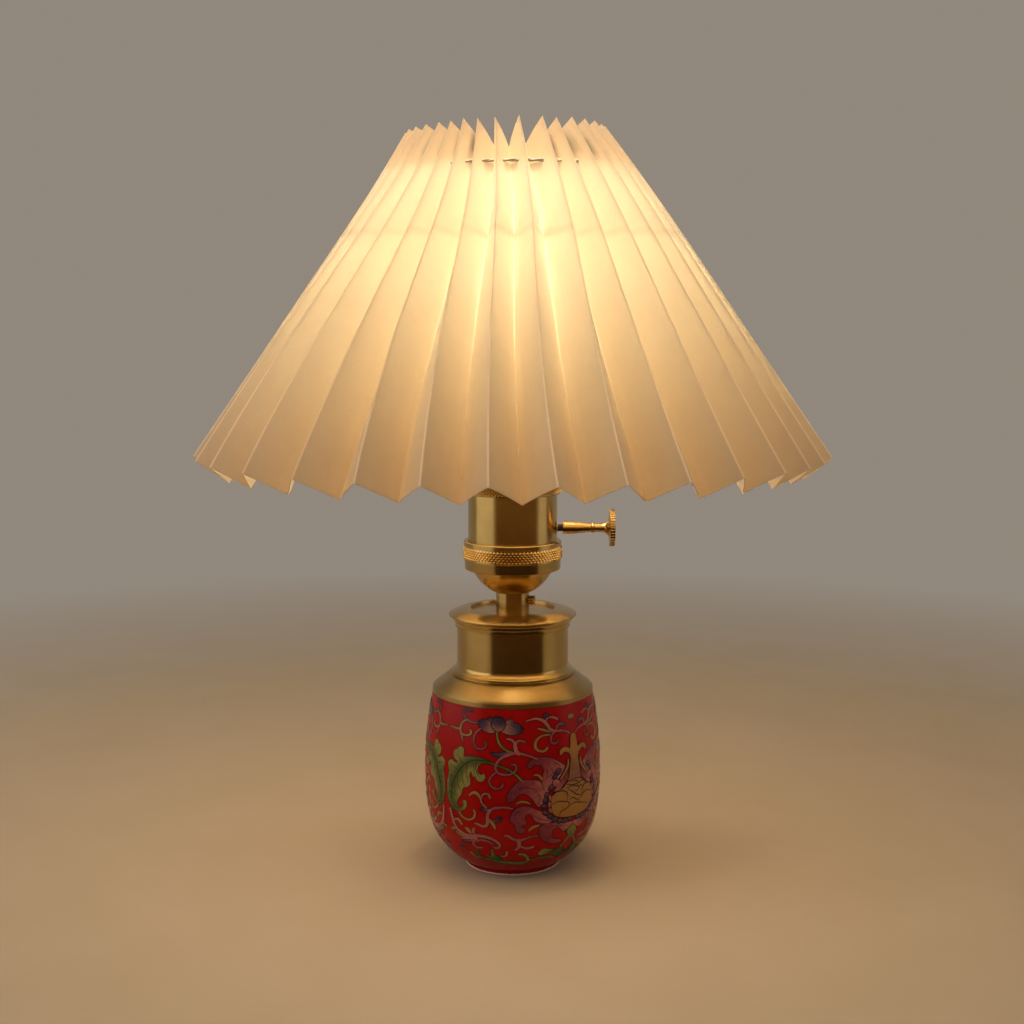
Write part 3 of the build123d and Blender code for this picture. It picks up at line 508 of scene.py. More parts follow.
for finish_name, members in FINISHES.items():
    for member in members:
        mesh = nodes[member].data
        mesh.materials.clear()
        mesh.materials.append(MATERIALS[finish_name])


def make_piece(name, points, faces, material, body, replaced=(), sharp=35):
    """Mesh piece from points in millimetres, riding on a body."""
    mesh = bpy.data.meshes.new(name)
    mesh.from_pydata([[c * MM for c in point] for point in points], [], faces)
    mesh.update()
    mesh.materials.append(MATERIALS[material])
    mesh.polygons.foreach_set("use_smooth", [True] * len(mesh.polygons))
    mesh.set_sharp_from_angle(angle=radians(sharp))
    piece = bpy.data.objects.new(name, mesh)
    scene.collection.objects.link(piece)
    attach(piece, body)
    if replaced:
        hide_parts(*replaced)
    return piece


def on_circle(radius, turn, z):
    """Point at an angle in degrees from the front (-Y), counted towards the right (+X)."""
    return (radius * sin(radians(turn)), -radius * cos(radians(turn)), z)


def blend(a, b, share):
    return tuple(p + (q - p) * share for p, q in zip(a, b))


def limited(value):
    """The value, held between 0 and 1."""
    return min(max(value, 0.0), 1.0)


# Pleated sheet: one closed thin skin, whose folds wander, most of all at the left of the top edge.
# Drift of the ridges in degrees at the top edge, at the rim and half-way, given for a few of them by number
TOP_DRIFT = ((0, 1.3), (1, 3.7), (2, 1.6), (6, 1.2), (26, 8.4), (29, 7.6), (32, -0.2), (33, -1.3), (34, 1.3))
RIM_DRIFT = ((0, 0), (4, 0), (6, -3.6), (25, -3.6), (28, -3.2), (30, -0.4), (31, 0.8), (32, 0.8), (34, 0))
HALFWAY_DRIFT = (
    (0, -1.3), (1, -0.6), (4, -0.2), (6, -0.5), (7, -1.1), (25, -3.3), (26, -4.3), (28, -4.5),
    (30, -1.5), (31, -2.0), (33, -0.7), (34, -1.3),
)
RIDGES_BEHIND = range(7, 26)
LEAN_FROM, LEAN_RISE = 292.0, 59.7
LEAN_LEFT = 3.6
LEAN_SLOPE_X, LEAN_SLOPE_Y = 0.034, -0.022
# Points across each panel, as shares of its width, and steps down the sheet
ACROSS = (0.0, 0.035, 0.1, 0.18, 0.26, 0.34, 0.42, 0.5, 0.68, 0.86, 0.965)
DOWN = 44
# Valleys narrower than this many degrees at the top get a painted shade in their gaps, at these angles from
# the front or the back
GAP_SHADE_OPENING = 12.9
GAP_SHADE_STARTS, GAP_SHADE_FULL, GAP_SHADE_FADES, GAP_SHADE_ENDS = 14, 20, 52, 64
GAP_SHADE_DEPTH = 0.39


def lean(point):
    """The top of the shade stands a little to the left, lower at that side and higher at the front."""
    x, y, z = point
    share = max(0.0, (z - LEAN_FROM) / LEAN_RISE) ** 2
    return (x - LEAN_LEFT * share, y, z + (LEAN_SLOPE_X * x + LEAN_SLOPE_Y * y) * share)


def drift_at(points, k):
    """Drift of ridge k, on straight lines between the ridges that are given."""
    for (low, before), (high, after) in zip(points, points[1:]):
        if low <= k <= high:
            return before + (after - before) * (k - low) / (high - low)


def drifting_ridges():
    """Angle of each ridge, its drift at the top, at the rim and half-way, and its rise."""
    rng = random.Random(34)
    ridges = []
    for k in range(PLEATS):
        behind = float(k in RIDGES_BEHIND)
        top = drift_at(TOP_DRIFT, k) + behind * rng.uniform(-0.5, 0.5)
        rim = drift_at(RIM_DRIFT, k) + behind * rng.uniform(-0.45, 0.45)
        bow = drift_at(HALFWAY_DRIFT, k) + behind * rng.uniform(-0.3, 0.3)
        ridges.append((FIRST_RIDGE + k * 360 / PLEATS, top, rim, bow, rng.uniform(-0.5, 0.5)))
    return ridges


RIDGES = drifting_ridges()


def drift_down(top, rim, bow, v):
    """Drift of a fold at a share v of the way down from the top edge to the rim."""
    return top * (1 - v) ** 1.5 + rim * v + bow * 4 * v * (1 - v)


def ridge_point(k, v):
    turn, top, rim, bow, up = RIDGES[k % PLEATS]
    radius, z = blend(RIDGE_TOP, RIDGE_RIM, v)
    turn += drift_down(top, rim, bow, v)
    return lean(on_circle(radius - abs(up) * 0.6 * v, turn, z + up * (1 - v) - abs(up) * 0.5))


def valley_point(k, v):
    """Point of the valley after ridge k, whose drift is half-way between its two ridges."""
    turn, *drifts, up = RIDGES[k % PLEATS]
    middle = [(here + after) / 2 for here, after in zip(drifts, RIDGES[(k + 1) % PLEATS][1:])]
    radius, z = blend(VALLEY_TOP, VALLEY_RIM, v)
    turn += 180 / PLEATS + drift_down(*middle, v)
    return lean(on_circle(radius + abs(up) * 0.4, turn, z + up * 0.4))


def gap_shading(k):
    """How closely the sides of a valley stand together at the top, from 0 to 1, which sets how dark its gap
    is painted, and where that painted shade starts.
    """
    here, after = RIDGES[k], RIDGES[(k + 1) % PLEATS]
    opening = 360 / PLEATS + after[1] - here[1]
    aside = here[0] + 180 / PLEATS + (here[1] + after[1]) / 2
    aside = abs((aside + 180) % 360 - 180)
    aside = min(aside, 180 - aside)
    close = limited(GAP_SHADE_OPENING - opening)
    close *= limited((aside - GAP_SHADE_STARTS) / (GAP_SHADE_FULL - GAP_SHADE_STARTS))
    close *= limited((GAP_SHADE_ENDS - aside) / (GAP_SHADE_ENDS - GAP_SHADE_FADES))
    return close, GAP_SHADE_DEPTH * cos(radians(aside)) ** 1.6


def sheet_rows():
    """Rows of (point, share across its panel, panel number), and each point's fold value and painted gap
    shade.
    """
    rows, fold_values, gap_shade_values = [], [], []
    gap_shadings = [gap_shading(k) for k in range(PLEATS)]
    for j in range(DOWN + 1):
        v = j / DOWN
        row = []
        for k, (close, gap) in enumerate(gap_shadings):
            ridge, valley, following = ridge_point(k, v), valley_point(k, v), ridge_point(k + 1, v)
            for half, (a, b) in enumerate(((ridge, valley), (valley, following))):
                for u in ACROSS:
                    point = Vector(blend(a, b, u))
                    row.append((point, u, 2 * k + half))
                    depth = 1 - u if half else u
                    fold_values.append(depth)
                    # the painted shade in the gaps lies from 2 to 15 mm above the string
                    rise = point.z - STRING_Z
                    high = limited((rise - 2) / 3) * limited((15 - rise) / 5)
                    gap_shade_values.append(high * close * limited((depth - gap) / (0.3 * gap)) if close else 0.0)
        rows.append(row)
    return rows, fold_values, gap_shade_values


def sheet_sides(rows):
    """Outer and inner points of the sheet, whose panels bulge and ripple a little between their folds."""
    across = len(rows[0])
    outside, inside = [], []
    for j, row in enumerate(rows):
        above, below = rows[max(j - 1, 0)], rows[min(j + 1, DOWN)]
        for i, (point, u, panel) in enumerate(row):
            along = below[i][0] - above[i][0]
            around = row[(i + 1) % across][0] - row[i - 1][0]
            normal = along.cross(around).normalized()
            if normal.x * point.x + normal.y * point.y < 0:
                normal = -normal
            belly = 0.35 + 0.45 * noise.noise((panel * 3.7, j * 0.05, 2.0))
            ripple = 0.25 * noise.noise(point * 0.035)
            moved = point + normal * ((belly + ripple) * sin(pi * u))
            outside.append(tuple(moved))
            inside.append(tuple(moved - normal * PAPER_THICKNESS))
    return outside, inside


def pleated_sheet():
    rows, fold_values, gap_shade_values = sheet_rows()
    outside, inside = sheet_sides(rows)
    across, count = len(rows[0]), len(outside)
    faces = []
    for j in range(DOWN):
        for i in range(across):
            a, b = j * across + i, j * across + (i + 1) % across
            c, d = b + across, a + across
            faces.append((a, d, c, b))
            faces.append((a + count, b + count, c + count, d + count))
    for i in range(across):
        a, b = i, (i + 1) % across
        faces.append((a, b, b + count, a + count))
        a, b = a + DOWN * across, b + DOWN * across
        faces.append((b, a, a + count, b + count))
    sheet = make_piece(
        "pleated_sheet", outside + inside, faces, "shade_paper", "shade",
        ("shade_pleats",), sharp=30,
    )
    # the fold depth, and the painted shade of the gaps between folds, ride on the points
    for label, values in (("fold", fold_values), ("painted_gap_shade", gap_shade_values)):
        sheet.data.attributes.new(label, "FLOAT", "POINT").data.foreach_set("value", values * 2)
    sheet.data.materials.append(MATERIALS["shade_paper_inside"])
    for face in sheet.data.polygons:
        face.material_index = int(min(face.vertices) >= count)


def twisted_string():
    """Two-ply cotton string, drawn through the pleats near the top."""
    ply_radius, ply_offset, twists, steps, sides = 0.56, 0.26, 26, 520, 9
    points, faces = [], []
    for ply in range(2):
        first = len(points)
        for s in range(steps):
            turn = 360 * s / steps
            roll = 2 * pi * twists * s / steps + pi * ply
            radius, z = STRING_RADIUS + ply_offset * cos(roll), STRING_Z + ply_offset * sin(roll)
            for side in range(sides):
                way = 2 * pi * side / sides
                out, up = ply_radius * cos(way), ply_radius * sin(way)
                points.append(lean(on_circle(radius + out, turn, z + up)))
        for s in range(steps):
            here, after = first + s * sides, first + (s + 1) % steps * sides
            for side in range(sides):
                beside = (side + 1) % sides
                faces.append((here + side, after + side, after + beside, here + beside))
    make_piece(
        "twisted_string", points, faces, "cotton_string", "shade",
        ("gather_string",), sharp=60,
    )


pleated_sheet()
twisted_string()


def section_corners(name):
    """Corners of a turned CAD node as (radius, height) in millimetres."""
    return [(hypot(v.co.x, v.co.y) / MM, v.co.z / MM) for v in nodes[name].data.vertices]


# Rings with a diamond knurl: pyramids between two sets of crossing grooves
def knurled_ring(name, node_name, below, above, groove, tip, low, high, count, rows):
    """Ring whose section is given by (radius, height) points below and above the knurled band."""
    columns, levels = 2 * count, 2 * rows
    band = [(None, low + (high - low) * level / levels) for level in range(levels + 1)]
    section = [*below, *band, *above]
    points, faces, materials = [], [], []
    for s, (radius, z) in enumerate(section):
        level = s - len(below)
        for c in range(columns):
            here = radius
            if radius is None:
                raised = (c + level) % 2 == 1 and 0 < level < levels
                here = tip if raised else groove
            points.append(on_circle(here, 360 * c / columns, z))
    for s in range(len(section)):
        after = (s + 1) % len(section)
        level = s - len(below)
        knurled = 0 <= level < levels
        for c in range(columns):
            a, b = s * columns + c, s * columns + (c + 1) % columns
            d, e = after * columns + c, after * columns + (c + 1) % columns
            made = [(a, b, e, d)]
            if knurled and (c + level) % 2 == 0:
                made = [(a, b, e), (a, e, d)]
            elif knurled:
                made = [(a, b, d), (b, e, d)]
            faces += made
            materials += [int(not knurled)] * len(made)
    # the knurled faces take the brightened brass, a painted highlight
    ring = make_piece(name, points, faces, "knurled_brass_brightened", "base", (node_name,), sharp=25)
    ring.data.materials.append(MATERIALS["antique_brass"])
    ring.data.polygons.foreach_set("material_index", materials)


UNION_LIP = min(radius for radius, z in section_corners("union_ring"))
SHADE_RING_HEIGHT = 5.2
knurled_ring(
    "knurled_union_ring",
    "union_ring",
    [
        (21.5, 146.75), (UNION_LIP, 146.75), (UNION_LIP, 145.55), (22.35, 145.55),
        (22.75, 145.66), (23.04, 145.95), (23.15, 146.35), (23.15, 150.2), (23.2, 150.45), (23.3, 150.5),
    ],
    [(23.35, 157.15), (23.45, 157.2), (23.55, 157.3), (23.55, 159.05), (23.15, 159.45), (21.5, 159.45)],
    groove=23.15, tip=23.95, low=150.55, high=157.1, count=80, rows=3,
)
for ring_node, ring_low in (("shade_ring_lower", 182.2), ("shade_ring_upper", 188.9)):
    ring_high = ring_low + SHADE_RING_HEIGHT
    knurled_ring(
        "knurled_" + ring_node,
        ring_node,
        [(19.8, ring_low), (22.7, ring_low)],
        [(22.7, ring_high), (19.8, ring_high)],
        groove=22.8, tip=23.45, low=ring_low + 0.3, high=ring_high - 0.3, count=84, rows=3,
    )


# Turned mouldings: the skirt with its steep shoulder, the stepped lid, and the cove at the collar's foot
def turned_ring(name, profile, replaced=(), material="antique_brass"):
    """Ring turned from a closed section of (radius, height) points, given upwards along its outside."""
    segments = 180
    points = [on_circle(radius, 360 * c / segments, z) for radius, z in profile for c in range(segments)]
    faces = []
    for i in range(len(profile)):
        for c in range(segments):
            a, b = i * segments + c, i * segments + (c + 1) % segments
            after = (i + 1) % len(profile) * segments - i * segments
            faces.append((a, b, b + after, a + after))
    make_piece(name, points, faces, material, "base", replaced, sharp=24)


SKIRT_FOOT, LID_FOOT = 85.8, 117.75
skirt_corners = section_corners("shoulder_skirt")
SKIRT_RADIUS = max(radius for radius, z in skirt_corners)
SKIRT_INNER = min(radius for radius, z in skirt_corners if z < SKIRT_FOOT + 0.1)
SKIRT_SEAT = min(z for radius, z in skirt_corners if radius < SKIRT_INNER - 1)
turned_ring(
    "turned_skirt",
    [
        (SKIRT_INNER, SKIRT_FOOT), (SKIRT_RADIUS - 0.15, SKIRT_FOOT), (SKIRT_RADIUS, 85.95),
        (SKIRT_RADIUS, 88.1), (SKIRT_RADIUS - 0.1, 88.3), (SKIRT_RADIUS - 0.45, 88.4),
        (SKIRT_RADIUS - 0.5, 88.7), (SKIRT_RADIUS - 0.65, 88.95), (31.1, 94.3), (30.9, 94.4),
        (29.6, 94.55), (22.0, 94.55), (22.0, 92.15), (29.6, 92.15),
        (SKIRT_INNER - 3.15, SKIRT_SEAT), (SKIRT_INNER, SKIRT_SEAT),
    ],
    ("shoulder_skirt",),
    # the darkened brass, painted shade on the skirt
    "satin_brass_darkened",
)
lid_corners = section_corners("cap_lid")
LID_BORE = min(radius for radius, z in lid_corners if z < LID_FOOT + 0.05)
LID_LIP = max(radius for radius, z in lid_corners if z < LID_FOOT + 0.05)
LID_HOLE = min(radius for radius, z in lid_corners)
turned_ring(
    "turned_lid",
    [
        (LID_BORE, LID_FOOT), (LID_LIP, LID_FOOT), (LID_LIP + 0.15, 117.9), (LID_LIP + 0.15, 118.25),
        (LID_LIP, 118.4), (LID_LIP + 0.02, 119.1), (LID_LIP + 0.15, 119.7), (LID_LIP + 0.42, 120.2),
        (LID_LIP + 0.85, 120.5), (LID_LIP + 0.98, 120.6), (LID_LIP + 1.0, 120.85), (LID_LIP + 1.12, 121.5),
        (LID_LIP + 1.5, 122.15), (LID_LIP + 2.15, 122.75), (LID_LIP + 3.0, 123.15), (LID_LIP + 3.3, 123.25),
        (LID_LIP + 3.35, 123.35), (LID_LIP + 3.35, 123.65), (LID_LIP + 3.25, 123.85), (30.3, 124.2),
        (29.0, 124.78), (27.0, 125.45), (24.5, 126.1), (22.5, 126.42), (20.7, 126.5), (20.35, 126.4),
        (20.15, 125.15), (LID_HOLE, 125.15), (LID_HOLE, 123.15), (24.55, 123.15), (24.55, 121.15),
        (LID_BORE, 121.15),
    ],
    ("cap_lid",),
)
turned_ring(
    "collar_foot_cove",
    [
        (26.8, 94.6), (29.1, 94.6), (29.4, 94.85), (29.4, 95.45), (29.15, 95.65), (28.95, 95.8),
        (29.15, 95.95), (29.35, 96.15), (29.35, 96.6), (29.1, 96.85), (28.5, 97.25), (27.95, 97.7),
        (27.5, 98.2), (27.2, 98.75), (27.02, 99.4), (26.8, 99.5),
    ],
)


# Enamel flowers: drawn flat as (degrees from the front, height), then laid on the jar's wall.
# One 90 degree field is drawn, from the axis of the leaf pair to the axis of the large flower;
# it is mirrored and repeated round the jar.
LEAF_AXIS, FLOWER_AXIS = -46.3, 42.3
FIELD, FIELD_SHIFT = 90.0, -0.7
DEGREE_MM = 0.735
BELLY, HAUNCH, BASE, SHOULDER = (42.85, 46.5), (41.15, 26.4), (25.5, 3.4), (38.9, 85.7)
LINE = 0.38
LINED_SHARE = 0.86
SUNK = -0.05
OUTLINE_RISE, COLOUR_RISE, LEVEL_RISE = 0.05, 0.10, 0.07
PATCH_GRID = 1.3
DOME_WIDTH = 0.9
RIB_TINT, RIB_REACH = 0.12, 5.0
ENAMELS = {
    "outline": ((0.010, 0.004, 0.004), (0.012, 0.004, 0.004), (0.02, 0.006, 0.005)),
    "mauve": ((0.135, 0.020, 0.036), (0.24, 0.040, 0.050), (0.41, 0.13, 0.11)),
    "leaf_green": ((0.034, 0.056, 0.014), (0.095, 0.102, 0.023), (0.23, 0.195, 0.052)),
    "ochre": ((0.36, 0.125, 0.020), (0.35, 0.165, 0.042), (0.24, 0.095, 0.052)),
    "violet": ((0.022, 0.018, 0.042), (0.085, 0.045, 0.070), (0.31, 0.125, 0.105)),
}


def tangent_arc(start, end, tangent):
    """Centre and radius of the arc from start to end that leaves start along tangent."""
    across = Vector((-tangent[1], tangent[0])).normalized()
    chord = Vector(end) - Vector(start)
    reach = chord.dot(chord) / (2 * chord.dot(across))
    return Vector(start) + across * reach, abs(reach)


upper_wall = tangent_arc(BELLY, SHOULDER, (0, 1))
belly_wall = tangent_arc(BELLY, HAUNCH, (0, -1))
haunch_way = Vector(HAUNCH) - belly_wall[0]
lower_wall = tangent_arc(HAUNCH, BASE, (haunch_way.y, -haunch_way.x))


def on_jar(turn, z, lift):
    """Point on the jar's wall, raised square to it."""
    centre, radius = upper_wall if z > BELLY[1] else belly_wall if z > HAUNCH[1] else lower_wall
    rise = z - centre.y
    run = sqrt(radius * radius - rise * rise)
    stretch = (radius + lift) / radius
    return on_circle(centre.x + run * stretch, turn, centre.y + rise * stretch)


def spline_point(near, t):
    """Point of a Catmull-Rom curve between the second and the third of four tuples."""
    return tuple(
        0.5 * (2 * b + (c - a) * t + (2 * a - 5 * b + 4 * c - d) * t * t + (3 * b - a - 3 * c + d) * t ** 3)
        for a, b, c, d in zip(*near)
    )


def smooth_line(points, closed=False, steps=5):
    """Catmull-Rom curve through tuples of any length."""
    count = len(points)
    line = []
    for i in range(count if closed else count - 1):
        places = range(i - 1, i + 3)
        near = [points[k % count if closed else min(max(k, 0), count - 1)] for k in places]
        line += [spline_point(near, s / steps) for s in range(steps)]
    if not closed:
        line.append(points[-1])
    return line


class Enamel:
    """Points, faces and tints of one colour of enamel, gathered over the whole jar."""

    def __init__(self):
        self.points, self.faces, self.tints = [], [], []

    def lay(self, flat, faces, lifts, tints, axial):
        """Places a flat form on each field it belongs to; mirrored copies turn their faces."""
        copies = ((1, 0), (1, 180)) if axial else ((1, 0), (-1, 0), (1, 180), (-1, 180))
        for way, turned in copies:
            first = len(self.points)
            for (x, z), lift in zip(flat, lifts):
                share = (x / DEGREE_MM - LEAF_AXIS) * FIELD / (FLOWER_AXIS - LEAF_AXIS)
                self.points.append(on_jar(LEAF_AXIS + FIELD_SHIFT + way * share + turned, z, lift))
            self.tints += tints
            for face in faces:
                ordered = face if way > 0 else face[::-1]
                self.faces.append(tuple(first + corner for corner in ordered))


COLOURS = {name: Enamel() for name in ENAMELS}


def heights(level):
    """Top of the dark outline and of the colour, for a form that lies over others by its level."""
    return OUTLINE_RISE + LEVEL_RISE * level, COLOUR_RISE + LEVEL_RISE * level


def lay_ribbon(colour, line, top, edge, tint_ends, axial):
    """Domed ribbon along (x, z, width) points: five points round each section."""
    flat, faces, lifts, tints = [], [], [], []
    for i, (x, z, width) in enumerate(line):
        before, after = line[max(i - 1, 0)], line[min(i + 1, len(line) - 1)]
        way = Vector((after[0] - before[0], after[1] - before[1])).normalized()
        side = Vector((-way.y, way.x)) * width / 2
        place = Vector((x, z))
        flat += [place + side, place + side, place, place - side, place - side]
        lifts += [SUNK, edge, top, edge, SUNK]
        share = i / (len(line) - 1)
        tints += [tint_ends[0] + (tint_ends[1] - tint_ends[0]) * share] * 5
    for i in range(len(line) - 1):
        for k in range(5):
            a, b = i * 5 + k, i * 5 + (k + 1) % 5
            faces.append((a, a + 5, b + 5, b))
    end = (len(line) - 1) * 5
    faces += [(0, 1, 2, 3, 4), tuple(end + k for k in (4, 3, 2, 1, 0))]
    COLOURS[colour].lay(flat, faces, lifts, tints, axial)


def rounded_ends(line):
    """Ribbon points with the first and last width brought down over a short cap."""
    capped = []
    for end, following in ((line[0], line[1]), (line[-1], line[-2])):
        way = Vector((end[0] - following[0], end[1] - following[1])).normalized()
        half = end[2] / 2
        capped.append([
            (end[0] + way.x * half * far, end[1] + way.y * half * far, end[2] * wide)
            for far, wide in ((0.98, 0.22), (0.82, 0.58), (0.45, 0.88))
        ])
    return capped[0] + line + capped[1][::-1]


def past_end(end, following):
    """Ribbon point that takes the outline past the end of a stroke."""
    way = (Vector(end[:2]) - Vector(following[:2])).normalized() * LINE
    return (end[0] + way.x, end[1] + way.y, LINE)


def tendril(colour, points, widths, tints=(0.5, 0.5), level=0, axial=False, lined=True):
    """Brush stroke through (degrees, height) points; widths are spread along it."""
    spread = []
    for i, (turn, z) in enumerate(points):
        place = i / (len(points) - 1) * (len(widths) - 1)
        low = min(int(place), len(widths) - 2)
        width = widths[low] + (widths[low + 1] - widths[low]) * (place - low)
        spread.append((turn * DEGREE_MM, z, width * (LINED_SHARE if lined else 1.0)))
    line = rounded_ends(smooth_line(spread))
    under, over = heights(level)
    if lined:
        wider = [(x, z, width + 2 * LINE) for x, z, width in line]
        wider = [past_end(line[0], line[1]), *wider, past_end(line[-1], line[-2])]
        lay_ribbon("outline", wider, under, under - 0.01, (0.5, 0.5), axial)
    lay_ribbon(colour, line, over + 0.05, over - 0.02, tints, axial)


def fine_line(points, width, level=1, axial=False):
    """Thin dark line, narrower at both ends."""
    widths = (width * 0.5, width, width, width * 0.5)
    tendril("outline", points, widths, level=level, axial=axial, lined=False)


def lay_patch(colour, edge_line, top, edge, tint_of, axial):
    """Filled closed outline with a soft dome, down to just under the wall."""
    border = [Vector(point) for point in edge_line]
    xs, zs = [p.x for p in border], [p.y for p in border]
    inner = []
    row, z = 0, min(zs) + PATCH_GRID / 2
    while z < max(zs):
        x = min(xs) + (row % 2) * PATCH_GRID / 2
        while x < max(xs):
            here = Vector((x, z))
            if min((here - p).length for p in border) > 0.45 * PATCH_GRID:
                inner.append(here)
            x += PATCH_GRID
        z += PATCH_GRID * 0.87
        row += 1
    edges = [(i, (i + 1) % len(border)) for i in range(len(border))]
    flat, _, faces, *_ = geometry.delaunay_2d_cdt(border + inner, edges, [], 1, 1e-5)
    lifts, tints = [], []
    for place in flat:
        deep = min((place - p).length for p in border)
        lifts.append(edge + (top - edge) * min(1.0, deep / DOME_WIDTH))
        tints.append(tint_of(place))
    count = len(flat)
    sides = dict.fromkeys(side for face in faces for side in zip(face, face[1:] + face[:1]))
    solid = [tuple(face) for face in faces]
    solid += [tuple(corner + count for corner in face[::-1]) for face in faces]
    solid += [(b, a, a + count, b + count) for a, b in sides if (b, a) not in sides]
    COLOURS[colour].lay(list(flat) * 2, solid, lifts + [SUNK] * count, tints * 2, axial)


def petal(colour, points, dark_at=None, light_at=None, level=0, axial=False, mirrored=False,
          tints=(0.0, 1.0), rib=None):
    """Filled form; its tint runs from the dark point to the light one, or outwards from a rib."""
    outline = list(points)
    if mirrored:
        outline += [(2 * FLOWER_AXIS - turn, z) for turn, z in points[::-1] if abs(turn - FLOWER_AXIS) > 0.2]
    line = smooth_line([(turn * DEGREE_MM, z) for turn, z in outline], closed=True)
    area = sum(a[0] * b[1] - b[0] * a[1] for a, b in zip(line, line[1:] + line[:1]))
    if area < 0:
        line = line[::-1]
    under, over = heights(level)
    if dark_at is None:
        zs = [z for _, z in line]
        dark_at, light_at = (outline[0][0], min(zs)), (outline[0][0], max(zs))
    start = Vector((dark_at[0] * DEGREE_MM, dark_at[1]))
    way = Vector((light_at[0] * DEGREE_MM, light_at[1])) - start
    rib_line = smooth_line([(turn * DEGREE_MM, z) for turn, z in rib]) if rib else []

    def tint_of(place):
        if rib_line:
            near = min((place - Vector(spot)).length for spot in rib_line)
            return min(RIB_TINT + near / RIB_REACH, 1.0)
        share = limited((place - start).dot(way) / way.length_squared)
        return tints[0] + (tints[1] - tints[0]) * share

    wider = []
    for i, here in enumerate(line):
        before, after = line[i - 1], line[(i + 1) % len(line)]
        along = Vector((after[0] - before[0], after[1] - before[1])).normalized()
        wider.append((here[0] + along.y * LINE, here[1] - along.x * LINE))
    lay_patch("outline", wider, under, under - 0.01, lambda place: 0.5, axial)
    lay_patch(colour, line, over + 0.06, over - 0.02, tint_of, axial)


def oval(colour, centre, half_wide, half_high, tilt=0.0, level=0, axial=False, tints=(0.0, 1.0)):
    """Small oval bead; half sizes in millimetres, tilt in degrees."""
    points = []
    for k in range(8):
        way = 2 * pi * k / 8
        x, z = half_wide * cos(way), half_high * sin(way)
        along = x * cos(radians(tilt)) - z * sin(radians(tilt))
        up = x * sin(radians(tilt)) + z * cos(radians(tilt))
        points.append((centre[0] + along / DEGREE_MM, centre[1] + up))
    petal(colour, points, level=level, axial=axial, tints=tints)


# Acanthus leaf, its ribs and its stem
MIDRIB = [
    (-13, 61.2), (-18, 61.9), (-24, 61.6), (-29, 60.2), (-33, 57.6), (-36.8, 53.8),
    (-39.6, 49.5), (-41.2, 45), (-41.3, 41), (-39.8, 38.2), (-36.8, 36.8),
]
petal("leaf_green", [
    (-12.5, 61.3), (-16, 62.1), (-20, 63.0), (-25, 63.2), (-29, 62.8), (-32.2, 62.7), (-32.3, 64.5),
    (-32.2, 65.8), (-33.6, 66.8), (-35.2, 67.0), (-36.6, 66.2), (-37.6, 65.3), (-39.1, 65.0),
    (-40.3, 63.7), (-40.3, 62.2), (-39.2, 60.7), (-37.3, 59.9), (-36.9, 59.2), (-38.4, 58.9),
    (-40.0, 59.4), (-41.6, 59.9), (-43.6, 59.3), (-44.6, 57.9), (-44.3, 56.2), (-43.6, 54.7),
    (-43.9, 53.0), (-44.5, 51.0), (-45.0, 48.8), (-45.2, 46.0), (-45.0, 43.0), (-44.2, 40.4),
    (-42.7, 38.0), (-40.4, 36.4), (-37.5, 35.7), (-34.5, 35.9), (-32.0, 36.9), (-30.2, 38.5),
    (-29.6, 40.2), (-30.2, 41.5), (-31.6, 41.8), (-32.5, 41.0), (-32.0, 39.8), (-32.4, 38.6),
    (-33.7, 37.7), (-35.4, 37.7), (-36.7, 38.5), (-37.0, 39.9), (-36.3, 41.6), (-34.6, 43.3),
    (-33.3, 45.0), (-32.8, 46.7), (-31.6, 47.8), (-29.4, 48.3), (-27.6, 49.3), (-27.0, 50.7),
    (-27.3, 52.2), (-27.7, 53.6), (-27.5, 55.2), (-26.7, 56.2), (-26.1, 55.0), (-25.0, 53.8),
    (-23.5, 53.8), (-22.8, 52.6), (-21.4, 51.8), (-19.5, 51.8), (-17.8, 52.8), (-17.1, 54.2),
    (-17.6, 55.4), (-18.8, 55.5), (-19.8, 55.0), (-20.9, 55.3), (-22.1, 56.3), (-22.3, 57.7),
    (-21.5, 59.2), (-19.6, 60.3), (-17.0, 60.7), (-12.5, 60.5),
], rib=MIDRIB)
fine_line(MIDRIB, 0.5)
for comb in range(11):
    drop = 1.05 * comb
    fine_line([(-43.6 - 0.06 * comb, 57.6 - drop), (-41.9, 57.3 - drop), (-40.6, 56.7 - drop)], 0.3)
for rib in (
    [(-31, 58.7), (-34.5, 60.6), (-36.6, 63.2), (-36.2, 65.0)],
    [(-35.4, 55.0), (-39, 56.6), (-41.6, 57.2), (-43.0, 57.6)],
    [(-38.0, 51.8), (-40.8, 52.6), (-42.8, 52.3)],
    [(-39.8, 48.5), (-42.0, 48.8), (-43.8, 48.0)],
    [(-41.0, 45.0), (-42.6, 44.6), (-43.8, 43.4)],
    [(-26.0, 60.7), (-24.8, 58.4), (-24.4, 56.2), (-24.6, 54.8)],
    [(-22.5, 61.3), (-23.6, 58.6), (-22.6, 55.8), (-20.4, 53.8)],
    [(-30.0, 59.4), (-29.6, 56.6), (-29.4, 53.6), (-28.6, 50.8)],
    [(-33.4, 56.6), (-33.0, 53.6), (-32.2, 50.6), (-30.8, 48.8)],
    [(-36.6, 53.4), (-36.2, 50.2), (-35.4, 47.4), (-34.2, 46.0)],
    [(-39.4, 49.2), (-38.4, 46.0), (-37.2, 43.8)],
):
    fine_line(rib, 0.3)
tendril("leaf_green", [
    (-13.5, 61.0), (-8.5, 59.7), (-4, 58.6), (-0.5, 57.2), (2.5, 55.3), (5, 53.4), (7.2, 52.0),
], (1.1, 1.2, 1.2, 1.0), (0.3, 0.8))

